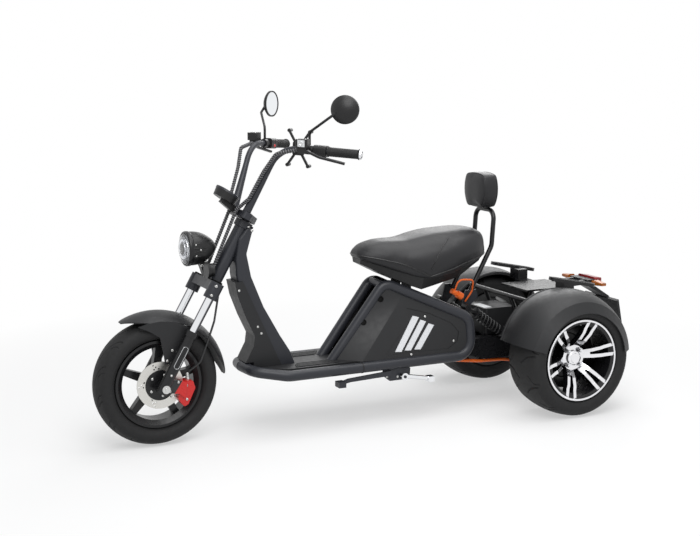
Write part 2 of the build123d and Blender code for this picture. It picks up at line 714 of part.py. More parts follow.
# front mudguard: crowned shell swept round the wheel, with side arms to the sliders
FRONT_GUARD_DEG = 61.0
FENDER_ARC = 118.0
FENDER_GAP = 36.0
FENDER_R = WHEEL_R + FENDER_GAP
GUARD_F = Vector(cos(radians(FRONT_GUARD_DEG)), 0, sin(radians(FRONT_GUARD_DEG)))
GUARD_FN = Vector(sin(radians(FRONT_GUARD_DEG)), 0, -cos(radians(FRONT_GUARD_DEG)))
with BuildPart() as front_mudguard:
    with BuildSketch(Plane(FRONT_AXLE, x_dir=(0, 1, 0), z_dir=GUARD_FN)):
        with BuildLine():
            ThreePointArc((-78, FENDER_R - 30), (0, FENDER_R), (78, FENDER_R - 30))
            Line((78, FENDER_R - 30), (74, FENDER_R - 32))
            ThreePointArc((74, FENDER_R - 32), (0, FENDER_R - 4), (-74, FENDER_R - 32))
            Line((-74, FENDER_R - 32), (-78, FENDER_R - 30))
        make_face()
    revolve(axis=Axis(FRONT_AXLE, (0, -1, 0)), revolution_arc=FENDER_ARC)
    for tip_deg, tip_sign in ((FRONT_GUARD_DEG, 1), (FRONT_GUARD_DEG + FENDER_ARC, -1)):
        tip_out = Vector(cos(radians(tip_deg)), 0, sin(radians(tip_deg)))
        for tip_side in (-1, 1):
            with BuildSketch(Plane(FRONT_AXLE + tip_out * FENDER_R, x_dir=(0, tip_side, 0), z_dir=tip_out)):
                with BuildLine():
                    ThreePointArc((8, -4 * tip_side * tip_sign), (50, 36 * tip_side * tip_sign),
                                  (82, 96 * tip_side * tip_sign))
                    Polyline((82, 96 * tip_side * tip_sign), (110, 96 * tip_side * tip_sign),
                             (110, -4 * tip_side * tip_sign), (8, -4 * tip_side * tip_sign))
                make_face()
            extrude(amount=70, both=True, mode=Mode.SUBTRACT)
    for arm_sign in (-1, 1):
        with BuildSketch(SIDE_FRONT.offset(-arm_sign * 74)):
            Polygon(
                (84, FENDER_R - 44), (44, FENDER_R - 33), (0, FENDER_R - 29), (-60, FENDER_R - 36),
                (-136, FENDER_R - 70), (-118, 170), (-92, 118), (-40, 82), (-16, 82), (-9, 137), (2, 186),
                (38, FENDER_R - 66),
                align=None,
            )
        extrude(amount=-arm_sign * 4)
        with BuildSketch(SIDE_FRONT.offset(-arm_sign * 77)):
            with Locations((-70, 126)):
                Circle(8)
        extrude(amount=-arm_sign * 5.7)
front_mudguard.part.label = "front_mudguard"
export_step(front_mudguard.part, "parts/front_mudguard.step")

# brake caliper on the left leg, straddling the disc
with BuildPart() as brake_caliper:
    with BuildSketch(SIDE_FRONT.offset(-36)):
        with BuildLine():
            Polyline(
                (-76, 15), (-120, 11), (-129, -18), (-100, -78), (-84, -86), (-60, -54), (-70, -20), close=True
            )
        make_face()
        fillet(vertices(), radius=6)
    extrude(amount=-52)
    with BuildSketch(SIDE_FRONT.offset(-52)):
        Circle(DISC_R + 6)
    extrude(amount=-13.5, mode=Mode.SUBTRACT)
    with BuildSketch(SIDE_FRONT.offset(-88)):
        Polygon((-96, 10), (-52, 22), (-6, 22), (-6, -24), (-64, -32), (-84, -52), align=None)
    extrude(amount=-8)
    with BuildSketch(FORK.offset(-30)):
        with Locations((0, LEG_Y)):
            Circle(SLIDER_R + FIT)
    extrude(amount=200, mode=Mode.SUBTRACT)
    with BuildSketch(Plane.XZ.offset(-70)):
        with Locations((FRONT_AXLE_X, WHEEL_R)):
            Circle(FRONT_AXLE_R + 1)
    extrude(amount=-40, mode=Mode.SUBTRACT)
brake_caliper.part.label = "brake_caliper"
export_step(brake_caliper.part, "parts/brake_caliper.step")

# headlamp: bullet shell, rim and lens
LAMP_X = FRONT_AXLE_X - 131
LAMP_Z = WHEEL_R + 501
with BuildPart() as headlamp_shell:
    with BuildSketch(Plane(origin=(LAMP_X, 0, LAMP_Z), x_dir=(1, 0, 0), z_dir=(0, -1, 0))):
        with BuildLine():
            Line((0, 0), (0, 63))
            Line((0, 63), (-14, 64))
            ThreePointArc((-14, 64), (-84, 46), (-118, 12))
            Line((-118, 12), (-120, 0))
            Line((-120, 0), (0, 0))
        make_face()
    revolve(axis=Axis((LAMP_X, 0, LAMP_Z), (1, 0, 0)))
    with BuildSketch(SIDE_FRONT):
        Polygon((-213, 383.2), (-200, 390.7), (-180, 450), (-210, 452), (-220, 420), align=None)
    extrude(amount=16, both=True)
headlamp_shell.part.label = "headlamp_shell"
export_step(headlamp_shell.part, "parts/headlamp_shell.step")

with BuildPart() as headlamp_lens:
    with BuildSketch(Plane(origin=(LAMP_X + 0.3, 0, LAMP_Z), x_dir=(1, 0, 0), z_dir=(0, -1, 0))):
        with BuildLine():
            Polyline((18, 16), (18, 0), (0, 0), (0, 57), (5, 57))
            ThreePointArc((5, 57), (14, 40), (18, 16))
        make_face()
    revolve(axis=Axis((LAMP_X, 0, LAMP_Z), (1, 0, 0)))
headlamp_lens.part.label = "headlamp_lens"
export_step(headlamp_lens.part, "parts/headlamp_lens.step")

# horn on a strap beside the lamp bracket
HORN_Y = 66.0
HORN_Z = 424.0
with BuildPart() as horn:
    with BuildSketch(Plane(origin=front(-200, HORN_Y, HORN_Z), x_dir=(0, 1, 0), z_dir=(1, 0, 0))):
        Circle(29)
    extrude(amount=12, taper=-12)
    with BuildSketch(Plane(origin=front(-216, HORN_Y, HORN_Z), x_dir=(0, 1, 0), z_dir=(1, 0, 0))):
        Circle(25)
    extrude(amount=16)
    with Locations(front(-208, 16 + FIT, HORN_Z)):
        Box(12, HORN_Y - 24, 16, align=(Align.CENTER, Align.MIN, Align.CENTER))
horn.part.label = "horn"
export_step(horn.part, "parts/horn.step")

# brake hose from the crown past the mudguard to the caliper
with BuildPart() as brake_hose:
    with BuildLine() as hose_path:
        FilletPolyline(
            front(-236, 60, 320),
            front(-210, 84, 230),
            front(-179, 87, 148),
            front(-150, 87, 78),
            front(-104, 70, 40),
            front(-104, 70, 13.1),
            radius=(30, 30, 30, 14),
        )
    with BuildSketch(Plane(hose_path.line @ 0, z_dir=hose_path.line % 0)):
        Circle(4)
    sweep(path=hose_path.line)
brake_hose.part.label = "brake_hose"
export_step(brake_hose.part, "parts/brake_hose.step")

# clamp with hooked arms for a phone, behind the left grip's perch
CLAMP_AT = BAR_BEND + BAR_DIR * 64 - LEVER_AWAY * 30
with BuildPart() as phone_clamp:
    with BuildSketch(Plane(CLAMP_AT, x_dir=BAR_DIR, z_dir=LEVER_AWAY)):
        RectangleRounded(46, 52, 8)
        for arm_deg in (58, 122, 238, 302):
            with Locations(Rotation(0, 0, arm_deg)):
                with Locations((44, 0)):
                    Rectangle(72, 9)
    extrude(amount=7)
    for arm_deg in (58, 122, 238, 302):
        hook = CLAMP_AT + BAR_DIR * (76 * cos(radians(arm_deg))) + CLAMP_UP * (76 * sin(radians(arm_deg)))
        with BuildSketch(Plane(hook - LEVER_AWAY * 20, x_dir=BAR_DIR, z_dir=LEVER_AWAY)):
            Circle(7)
        extrude(amount=27)
    with BuildSketch(Plane(CLAMP_AT + LEVER_AWAY * 6, x_dir=BAR_DIR, z_dir=LEVER_AWAY)):
        Circle(12)
    extrude(amount=13)
phone_clamp.part.label = "phone_clamp"
export_step(phone_clamp.part, "parts/phone_clamp.step")

# top clamp that ties the stem to the two risers
with BuildPart() as top_clamp:
    with BuildSketch(FORK.offset(HEAD_TOP + 4)):
        Polygon((24, -84), (24, 84), (-6, 86), (-58, 26), (-58, -26), (-6, -86), align=None)
        fillet(vertices(), radius=10)
    extrude(amount=26)
    with BuildSketch(FORK.offset(HEAD_TOP)):
        with Locations((-STEER_OFFSET, 0)):
            Circle(STEM_R + FIT)
    extrude(amount=8.3, mode=Mode.SUBTRACT)
top_clamp.part.label = "top_clamp"
export_step(top_clamp.part, "parts/top_clamp.step")

# handlebar: risers bent back into swept grips
with BuildPart() as handlebar:
    with BuildLine() as bar_path:
        FilletPolyline(RISER_FOOT, BAR_BEND, BAR_END, radius=110)
    with BuildSketch(Plane(bar_path.line @ 0, z_dir=bar_path.line % 0)):
        Circle(BAR_R)
    sweep(path=bar_path.line)
    with BuildSketch(Plane(RISER_FOOT, z_dir=BAR_BEND - RISER_FOOT)):
        Circle(16.5)
    extrude(amount=190, taper=1.6)
    with BuildSketch(FORK.offset(HEAD_TOP + 30.2)):
        Rectangle(400, 400)
    extrude(amount=-60, mode=Mode.SUBTRACT)
    mirror(about=Plane.XZ)
handlebar.part.label = "handlebar"
export_step(handlebar.part, "parts/handlebar.step")

# grips on the ends of the bar
GRIP_LEN = 122.0
with BuildPart() as grips:
    with BuildSketch(Plane(BAR_END - BAR_DIR * GRIP_LEN, z_dir=BAR_DIR)):
        Circle(16.5)
        Circle(BAR_R + 0.2, mode=Mode.SUBTRACT)
    extrude(amount=GRIP_LEN)
    with BuildSketch(Plane(BAR_END + BAR_DIR * 0.2, z_dir=BAR_DIR)):
        Circle(17)
    extrude(amount=8, taper=12)
    mirror(about=Plane.XZ)
grips.part.label = "grips"
export_step(grips.part, "parts/grips.step")

# switch boxes, lever perches and levers inboard of the grips
SWITCH_AT = BAR_END - BAR_DIR * (GRIP_LEN + 52)
with BuildPart() as switch_boxes:
    with BuildSketch(Plane(SWITCH_AT, z_dir=BAR_DIR)):
        RectangleRounded(46, 42, 12)
        Circle(BAR_R + 0.2, mode=Mode.SUBTRACT)
    extrude(amount=48)
    mirror(about=Plane.XZ)
switch_boxes.part.label = "switch_boxes"
export_step(switch_boxes.part, "parts/switch_boxes.step")

LEVER_OUT = LEVER_AWAY
PERCH_AT = SWITCH_AT - BAR_DIR * 34
with BuildPart() as brake_perches:
    with BuildSketch(Plane(PERCH_AT, z_dir=BAR_DIR)):
        Circle(17)
        Circle(BAR_R + 0.2, mode=Mode.SUBTRACT)
    extrude(amount=30)
    with BuildSketch(Plane(PERCH_AT + LEVER_OUT * 13, x_dir=LEVER_OUT, z_dir=(0, 0, 1))):
        Rectangle(40, 34, align=(Align.MIN, Align.CENTER))
    extrude(amount=12, both=True)
    with BuildSketch(Plane(PERCH_AT + LEVER_OUT * 40 + Vector(0, 0, 12), x_dir=LEVER_OUT, z_dir=(0, 0, 1))):
        RectangleRounded(42, 46, 6)
    extrude(amount=30)
    mirror(about=Plane.XZ)
brake_perches.part.label = "brake_perches"
export_step(brake_perches.part, "parts/brake_perches.step")

with BuildPart() as brake_levers:
    with BuildLine() as lever_path:
        FilletPolyline(
            PERCH_AT + LEVER_OUT * 54 + BAR_DIR * 19.2,
            PERCH_AT + LEVER_OUT * 58 + BAR_DIR * 70 - CLAMP_UP * 18,
            PERCH_AT + LEVER_OUT * 48 + BAR_DIR * 165 - CLAMP_UP * 34,
            radius=60,
        )
    with BuildSketch(Plane(lever_path.line @ 0, z_dir=lever_path.line % 0)):
        RectangleRounded(14, 10, 3)
    sweep(path=lever_path.line)
    mirror(about=Plane.XZ)
brake_levers.part.label = "brake_levers"
export_step(brake_levers.part, "parts/brake_levers.step")

# wrapped control hoses from the perches down past the dial to the crown
with BuildPart() as control_hoses:
    with BuildLine() as hose_path:
        FilletPolyline(
            PERCH_AT + LEVER_OUT * 38 - BAR_DIR * (18.6 + FIT),
            front(-430, 178, 862),
            front(-398, 128, 790),
            front(-354, 94, 690),
            front(-325, 33, 642),
            front(-262, 31, 500),
            front(-211, 31, 385),
            radius=(30, 60, 24, 24, 40),
        )
    with BuildSketch(Plane(hose_path.line @ 0, z_dir=hose_path.line % 0)):
        Circle(6)
    sweep(path=hose_path.line)
    mirror(about=Plane.XZ)
control_hoses.part.label = "control_hoses"
export_step(control_hoses.part, "parts/control_hoses.step")

# round mirrors on bent stalks
MIRROR_AT = front(-633, 346, 1026)
MIRROR_N = Vector(-0.616, -0.788, 0)
MIRROR_R = 53.0
MIRROR_DEEP = 27.0
MIRROR_ALONG = MIRROR_N.cross(Vector(0, 0, 1))
with BuildPart() as mirror_shells:
    with BuildSketch(Plane(MIRROR_AT, x_dir=MIRROR_N, z_dir=MIRROR_ALONG)):
        with BuildLine():
            Polyline(
                (-MIRROR_DEEP, 0), (0, 0), (0, MIRROR_R - 2.8), (4, MIRROR_R - 2.8), (4, MIRROR_R), (-4, MIRROR_R)
            )
            ThreePointArc((-4, MIRROR_R), (-0.76 * MIRROR_DEEP, 0.58 * MIRROR_R), (-MIRROR_DEEP, 0))
        make_face()
    revolve(axis=Axis(MIRROR_AT, MIRROR_N))
    with BuildLine() as stalk:
        FilletPolyline(
            PERCH_AT + BAR_DIR * 15 + Vector(0, 0, 17.9),
            PERCH_AT + BAR_DIR * 15 + Vector(0, 0, 66),
            MIRROR_AT - MIRROR_N * 14 - MIRROR_ALONG * 62 - Vector(0, 0, 34),
            MIRROR_AT - MIRROR_N * 16 - MIRROR_ALONG * 30 - Vector(0, 0, 12),
            radius=(24, 12),
        )
    with BuildSketch(Plane(stalk.line @ 0, z_dir=stalk.line % 0)):
        Circle(5)
    sweep(path=stalk.line)
    mirror(about=Plane.XZ)
mirror_shells.part.label = "mirror_shells"
export_step(mirror_shells.part, "parts/mirror_shells.step")

with BuildPart() as mirror_glass:
    with BuildSketch(Plane(MIRROR_AT + MIRROR_N * 0.2, x_dir=(0, 0, 1), z_dir=MIRROR_N)):
        Circle(MIRROR_R - 3)
    extrude(amount=2)
    mirror(about=Plane.XZ)
mirror_glass.part.label = "mirror_glass"
export_step(mirror_glass.part, "parts/mirror_glass.step")

# round speedometer on a bracket ahead of the clamp
DIAL = Plane(origin=front(-305, 0, 708), x_dir=(0, 1, 0), z_dir=(-0.57, 0, 0.82))
with BuildPart() as speedometer:
    with BuildSketch(DIAL):
        Circle(50)
    extrude(amount=-34, taper=10)
    with BuildSketch(SIDE_FRONT):
        Polygon((-329.9, 620.2), (-342.9, 642.7), (-314, 670), (-286, 686), (-272, 672), align=None)
    extrude(amount=17, both=True)
speedometer.part.label = "speedometer"
export_step(speedometer.part, "parts/speedometer.step")

# front wheel
WHEEL_F = Plane(FRONT_AXLE, x_dir=(0, 1, 0), z_dir=(1, 0, 0))
with BuildPart() as front_tyre:
    with BuildSketch(WHEEL_F):
        with BuildLine():
            Line((-38, BEAD_R + BEAD_FIT), (-38, RIM_FLANGE_R + 3))
            ThreePointArc((-38, RIM_FLANGE_R + 3), (-FRONT_TYRE_W / 2, SIDEWALL_R), (-42, WHEEL_R - 10))
            ThreePointArc((-42, WHEEL_R - 10), (0, WHEEL_R), (42, WHEEL_R - 10))
            ThreePointArc((42, WHEEL_R - 10), (FRONT_TYRE_W / 2, SIDEWALL_R), (38, RIM_FLANGE_R + 3))
            Line((38, RIM_FLANGE_R + 3), (38, BEAD_R + BEAD_FIT))
            Line((38, BEAD_R + BEAD_FIT), (-38, BEAD_R + BEAD_FIT))
        make_face()
    revolve(axis=Axis(FRONT_AXLE, (0, 1, 0)))
front_tyre.part.label = "front_tyre"
export_step(front_tyre.part, "parts/front_tyre.step")

with BuildPart() as front_rim:
    with BuildSketch(WHEEL_F):
        Polygon(
            (-47, RIM_FLANGE_R), (-40, RIM_FLANGE_R), (-38.3, BEAD_R), (38.3, BEAD_R),
            (40, RIM_FLANGE_R), (47, RIM_FLANGE_R), (47, BEAD_R + 3.5), (34, RIM_IN),
            (-34, RIM_IN), (-47, BEAD_R + 3.5),
            align=None,
        )
    revolve(axis=Axis(FRONT_AXLE, (0, 1, 0)))
    with BuildSketch(Plane(FRONT_AXLE - Vector(0, 15, 0), x_dir=(-1, 0, 0), z_dir=(0, 1, 0))):
        with PolarLocations(0, FRONT_SPOKES, start_angle=13):
            Polygon((26, -19), (RIM_IN + 8, -12), (RIM_IN + 8, 12), (26, 19), align=None)
    extrude(amount=30)
    with BuildSketch(Plane(FRONT_AXLE - Vector(0, 56, 0), x_dir=(-1, 0, 0), z_dir=(0, 1, 0))):
        Circle(36)
    extrude(amount=112)
    with BuildSketch(Plane(FRONT_AXLE + Vector(0, 50, 0), x_dir=(-1, 0, 0), z_dir=(0, 1, 0))):
        Circle(DISC_IN + 7)
    extrude(amount=6)
    with BuildSketch(Plane(FRONT_AXLE + Vector(0, 56, 0), x_dir=(-1, 0, 0), z_dir=(0, 1, 0))):
        Circle(DISC_IN - FIT)
    extrude(amount=6)
    with BuildSketch(Plane(FRONT_AXLE - Vector(0, 60, 0), x_dir=(-1, 0, 0), z_dir=(0, 1, 0))):
        Circle(FRONT_AXLE_R + FIT)
    extrude(amount=130, mode=Mode.SUBTRACT)
front_rim.part.label = "front_rim"
export_step(front_rim.part, "parts/front_rim.step")

with BuildPart() as brake_disc:
    with BuildSketch(Plane(FRONT_AXLE + Vector(0, 56.3, 0), x_dir=(-1, 0, 0), z_dir=(0, 1, 0))):
        Circle(DISC_R)
        Circle(DISC_IN, mode=Mode.SUBTRACT)
        for group in range(5):
            with Locations(Rotation(0, 0, 30 + group * 72)):
                with Locations((63, -9), (72, 0), (81, 9), (66, 9)):
                    Circle(3.4, mode=Mode.SUBTRACT)
    extrude(amount=4.5)
brake_disc.part.label = "brake_disc"
export_step(brake_disc.part, "parts/brake_disc.step")

# rear wheels: dished twin-spoke rims on wide tyres
for side_name, side_sign in (("left", 1), ("right", -1)):
    wheel_at = Vector(REAR_AXLE_X, side_sign * REAR_TYRE_Y, WHEEL_R)
    wheel_half = Plane(wheel_at, x_dir=(0, side_sign, 0), z_dir=(side_sign, 0, 0))
    wheel_face = Plane(wheel_at, x_dir=(-1, 0, 0), z_dir=(0, side_sign, 0))
    wheel_axis = Axis(wheel_at, (0, side_sign, 0))
    with BuildPart() as rear_tyre:
        with BuildSketch(wheel_half):
            with BuildLine():
                Line((-88, BEAD_R + BEAD_FIT), (-88, RIM_FLANGE_R + 4))
                ThreePointArc((-88, RIM_FLANGE_R + 4), (-REAR_TYRE_W / 2, SIDEWALL_R), (-84, WHEEL_R - 8))
                ThreePointArc((-84, WHEEL_R - 8), (0, WHEEL_R), (84, WHEEL_R - 8))
                ThreePointArc((84, WHEEL_R - 8), (REAR_TYRE_W / 2, SIDEWALL_R), (88, RIM_FLANGE_R + 4))
                Line((88, RIM_FLANGE_R + 4), (88, BEAD_R + BEAD_FIT))
                Line((88, BEAD_R + BEAD_FIT), (-88, BEAD_R + BEAD_FIT))
            make_face()
        revolve(axis=wheel_axis)
    rear_tyre.part.label = "rear_tyre_" + side_name
    export_step(rear_tyre.part, "parts/rear_tyre_" + side_name + ".step")

    with BuildPart() as rear_barrel:
        with BuildSketch(wheel_half):
            Polygon(
                (-96, RIM_FLANGE_R), (-90, RIM_FLANGE_R), (-88.3, BEAD_R), (88.3, BEAD_R),
                (90, RIM_FLANGE_R), (97, RIM_FLANGE_R), (97, BEAD_R + 3.5), (90, BARREL_IN), (-90, BARREL_IN),
                align=None,
            )
        revolve(axis=wheel_axis)
    rear_barrel.part.label = "rear_barrel_" + side_name
    export_step(rear_barrel.part, "parts/rear_barrel_" + side_name + ".step")

    # dished spider: a bowl-shaped band cut to six split spokes
    with BuildPart() as rear_spider:
        with BuildSketch(wheel_half):
            Polygon(
                (36, 22), (4, 22), (4, 52), (30, 82), (50, BARREL_IN - 36), (64, BARREL_IN - FIT),
                (88, BARREL_IN - FIT), (80, BARREL_IN - 36), (62, 80), (36, 52),
                align=None,
            )
        revolve(axis=wheel_axis)
        with BuildSketch(wheel_face):
            Circle(51)
            for spoke in range(REAR_SPOKES):
                with Locations(Rotation(0, 0, 12 + spoke * 360 / REAR_SPOKES)):
                    Polygon((40, -17), (BEAD_R, -27), (BEAD_R, 27), (40, 17), align=None)
            for spoke in range(REAR_SPOKES):
                with Locations(Rotation(0, 0, 12 + spoke * 360 / REAR_SPOKES)):
                    Polygon(
                        (72, -5), (BARREL_IN - 6, -12), (BARREL_IN - 6, 12), (72, 5), align=None,
                        mode=Mode.SUBTRACT,
                    )
        extrude(amount=110, mode=Mode.INTERSECT)
        with BuildSketch(wheel_face.offset(4)):
            Circle(30)
        extrude(amount=40)
        with BuildSketch(wheel_face.offset(35)):
            with PolarLocations(NUT_CIRCLE_R, 4, start_angle=45):
                RegularPolygon(8, 6)
        extrude(amount=11)
        with BuildSketch(wheel_face):
            Circle(REAR_SHAFT_R + FIT)
        extrude(amount=33, mode=Mode.SUBTRACT)
    rear_spider.part.label = "rear_spider_" + side_name
    export_step(rear_spider.part, "parts/rear_spider_" + side_name + ".step")
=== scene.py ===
"""Looks for the electric trike: finishes for every CAD node, treaded tyres, coil springs, a stitched saddle,
wrapped hoses, bolts, lamps and dials. Metres, +X forward, +Y to the rider's left, +Z up."""

import json
import math

import bmesh
import bpy
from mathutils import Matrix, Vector
from mathutils.bvhtree import BVHTree


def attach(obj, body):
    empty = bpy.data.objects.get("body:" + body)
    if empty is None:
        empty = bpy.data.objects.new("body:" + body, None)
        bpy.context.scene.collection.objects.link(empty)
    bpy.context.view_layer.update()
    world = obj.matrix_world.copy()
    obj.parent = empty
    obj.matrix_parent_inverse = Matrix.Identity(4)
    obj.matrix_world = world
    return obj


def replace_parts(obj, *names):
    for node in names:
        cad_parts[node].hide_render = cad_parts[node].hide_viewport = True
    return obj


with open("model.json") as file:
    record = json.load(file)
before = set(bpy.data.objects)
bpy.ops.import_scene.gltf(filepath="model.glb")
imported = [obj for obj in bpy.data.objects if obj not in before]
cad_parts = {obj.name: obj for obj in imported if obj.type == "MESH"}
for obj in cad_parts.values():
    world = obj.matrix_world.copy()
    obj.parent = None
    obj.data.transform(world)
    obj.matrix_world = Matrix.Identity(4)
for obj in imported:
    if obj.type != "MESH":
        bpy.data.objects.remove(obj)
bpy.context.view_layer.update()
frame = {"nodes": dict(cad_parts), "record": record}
NODES = frame["nodes"]

# sizes and places that the dressing shares with the frame
FRONT_AXLE = Vector((0.936, 0, 0.240))
REAR_AXLE = Vector((-0.722, 0, 0.240))
REAR_TYRE_Y = 0.342
WHEEL_R = 0.240
BEAD_R = 0.1545
FLANGE_R = 0.168
RAKE = math.radians(30)
FORK_UP = Vector((-math.sin(RAKE), 0, math.cos(RAKE)))
FORK_OUT = Vector((math.cos(RAKE), 0, math.sin(RAKE)))
HEAD_T = -0.026
CLAMP_TOP = 0.728
LEG_Y = 0.104
SLIDER_R = 0.021
LAMP = Vector((0.805, 0, 0.741))
DIAL = Vector((0.631, 0, 0.948))
DIAL_UP = Vector((-0.57, 0, 0.82)).normalized()
MIRROR = Vector((0.3023, 0.3451, 1.2664))
MIRROR_LOOK = Vector((-0.616, -0.788, 0))
BAR_END = Vector((0.241, 0.343, 1.100))
BAR_BEND = Vector((0.474, 0.143, 1.122))
BAR_DIR = (BAR_END - BAR_BEND).normalized()
LEVER_OUT = Vector((BAR_DIR.y, -BAR_DIR.x, 0)).normalized()
GRIP_LEN = 0.122
GRIP_R = 0.0167
SWITCH_AT = BAR_END - BAR_DIR * (GRIP_LEN + 0.052)
PERCH_AT = SWITCH_AT - BAR_DIR * 0.034
SHOCK_TOP = Vector((-0.372, 0.112, 0.432))
SHOCK_LOW = Vector((-0.560, 0.112, 0.3018))
RAIL_Y = 0.150
SIDES = (("left", 1), ("right", -1))
BOTH = (1, -1)
LEFT = (1,)
FULL_TURN = 2 * math.pi
CREASE = math.radians(35)


def fork(t, y, s):
    """A point in the fork's frame: t forward, s up along the legs from the axle."""
    return FRONT_AXLE + FORK_OUT * t + Vector((0, y, 0)) + FORK_UP * s


def sided(p, sign):
    """A left-hand point or direction, on the side that sign names."""
    return Vector((p[0], p[1] * sign, p[2]))


def unit(value):
    return min(1.0, max(0.0, value))


# materials

def put(tree, node, sockets):
    """Fill a node's sockets, each with a constant or with another node's output."""
    for name, value in sockets.items():
        if isinstance(value, bpy.types.NodeSocket):
            tree.links.new(value, node.inputs[name])
        else:
            node.inputs[name].default_value = value


def add(tree, kind, sockets, **settings):
    node = tree.nodes.new("ShaderNode" + kind)
    for name, value in settings.items():
        setattr(node, name, value)
    put(tree, node, sockets)
    return node


def new_material(name):
    made = bpy.data.materials.new(name)
    made.use_nodes = True
    tree = made.node_tree
    return made, tree, tree.nodes["Principled BSDF"], add(tree, "TexCoord", {}).outputs["Object"]


def noise(tree, coords, scale, detail=4.0):
    return add(tree, "TexNoise", {"Scale": scale, "Detail": detail, "Roughness": 0.55, "Vector": coords}).outputs["Fac"]


def ramp(tree, value, low, high):
    """Map the middle of a noise's span to a range."""
    return add(tree, "MapRange", {"From Min": 0.3, "From Max": 0.7, "To Min": low, "To Max": high,
                                  "Value": value}).outputs["Result"]


def tint(tree, value, dark, light):
    """Blend two colours by a 0-1 value."""
    return add(tree, "Mix", {"A": (*dark, 1), "B": (*light, 1), "Factor": value}, data_type="RGBA").outputs["Result"]


def bump(tree, shader, height, strength, distance):
    node = add(tree, "Bump", {"Strength": strength, "Distance": distance, "Height": height})
    put(tree, shader, {"Normal": node.outputs["Normal"]})


def shaded(colour, amount):
    return tuple(min(1.0, c * amount) for c in colour)


def finish(name, colour, rough, metallic=0.0, spread=0.12, grain=900.0, depth=0.00008, strength=0.25, patch=9.0,
           rough_spread=0.06, spec=0.5):
    """A moulded, painted or metal surface: slow colour patches, finer roughness and a fine grain in relief."""
    made, tree, shader, coords = new_material(name)
    put(tree, shader, {
        "Base Color": tint(tree, noise(tree, coords, patch), shaded(colour, 1 - spread), shaded(colour, 1 + spread)),
        "Roughness": ramp(tree, noise(tree, coords, patch * 6), rough - rough_spread, rough + rough_spread),
        "Metallic": metallic,
        "Specular IOR Level": spec,
    })
    if depth:
        bump(tree, shader, noise(tree, coords, grain, 2.0), strength, depth)
    return made


def vinyl(name, colour):
    """Grained seat vinyl: small raised cells with creases between them."""
    made, tree, shader, coords = new_material(name)
    cells = add(tree, "TexVoronoi", {"Scale": 620, "Vector": coords})
    put(tree, shader, {
        "Base Color": tint(tree, noise(tree, coords, 7), shaded(colour, 0.82), shaded(colour, 1.2)),
        "Roughness": ramp(tree, noise(tree, coords, 90), 0.41, 0.46),
        "Specular IOR Level": 0.34,
    })
    bump(tree, shader, cells.outputs["Distance"], 0.30, 0.0003)
    return made


def turned(name, colour, rough, centre, rings, dark_sides=False):
    """Metal turned about a wheel's axle: fine rings in the roughness and the relief. With dark_sides, only the
    faces that look along the axle are bare and the rest keeps its black paint."""
    made, tree, shader, coords = new_material(name)
    flat = add(tree, "VectorMath", {0: coords, 1: (1, 0, 1), 2: (-centre[0], 0, -centre[2])}, operation="MULTIPLY_ADD")
    radius = add(tree, "VectorMath", {0: flat.outputs["Vector"]}, operation="LENGTH")
    lines = add(tree, "TexNoise", {"Scale": rings, "Detail": 3, "W": radius.outputs["Value"]},
                noise_dimensions="1D").outputs["Fac"]
    bare = tint(tree, lines, shaded(colour, 0.86), shaded(colour, 1.1))
    shown = 1.0
    if dark_sides:
        shown = facing(tree, (0, 1, 0), 0.55, 0.70)
        bare = add(tree, "Mix", {"A": (0.006, 0.006, 0.007, 1), "B": bare, "Factor": shown},
                   data_type="RGBA").outputs["Result"]
    put(tree, shader, {"Base Color": bare, "Roughness": ramp(tree, lines, rough - 0.07, rough + 0.07),
                       "Metallic": shown})
    bump(tree, shader, lines, 0.15, 0.00006)
    return made


def facing(tree, direction, start, end):
    """0 to 1 as the surface turns from one slant to another against a fixed direction, either way round."""
    normal = add(tree, "NewGeometry", {}).outputs["Normal"]
    slant = add(tree, "VectorMath", {0: normal, 1: direction}, operation="DOT_PRODUCT")
    size = add(tree, "Math", {0: slant.outputs["Value"]}, operation="ABSOLUTE")
    return add(tree, "MapRange", {"From Min": start, "From Max": end, "Value": size.outputs["Value"]}).outputs["Result"]


def painted_reflection_chrome(name, bright, dark, rough):
    """Chrome with painted reflections: dark streaks painted into its colour along the sides of a round tube, where the
    surface turns part way from a fixed sideways direction.
    """
    made, tree, shader, coords = new_material(name)
    # painted reflection: the dark band is painted into the colour where the surface faces part way along this sideways
    # direction
    across = (0.897, -0.442, 0)
    painted_reflection_streak = add(tree, "Math", {0: facing(tree, across, 0.50, 0.60), 1: facing(tree, across, 0.90, 0.80)},
                 operation="MULTIPLY")
    put(tree, shader, {
        "Base Color": tint(tree, painted_reflection_streak.outputs["Value"], bright, dark),
        "Roughness": ramp(tree, noise(tree, coords, 60), rough - 0.03, rough + 0.03),
        "Metallic": 1.0,
    })
    return made


def two_tone(name, colour, other, rough, plane, offset):
    """Paint on one side of a plane through the piece and another colour on its other side."""
    made, tree, shader, coords = new_material(name)
    side = add(tree, "VectorMath", {0: coords, 1: plane}, operation="DOT_PRODUCT")
    edge = add(tree, "MapRange", {"From Min": offset - 0.0005, "From Max": offset + 0.0005,
                                  "Value": side.outputs["Value"]})
    put(tree, shader, {
        "Base Color": tint(tree, edge.outputs["Result"], colour, other),
        "Roughness": ramp(tree, noise(tree, coords, 60), rough - 0.05, rough + 0.05),
    })
    bump(tree, shader, noise(tree, coords, 700, 2.0), 0.2, 0.00006)
    return made


def clear(name, colour, rough, ribs, through=0.9):
    """Clear or tinted lens plastic with moulded ribs."""
    made, tree, shader, coords = new_material(name)
    wave = add(tree, "TexWave", {"Scale": ribs, "Vector": coords}, bands_direction="Y")
    slow = noise(tree, coords, 40)
    put(tree, shader, {
        "Base Color": tint(tree, slow, shaded(colour, 0.92), colour),
        "Roughness": ramp(tree, slow, rough, rough + 0.04),
        "Transmission Weight": through,
        "IOR": 1.45,
    })
    bump(tree, shader, wave.outputs["Fac"], 0.12, 0.0006)
    return made


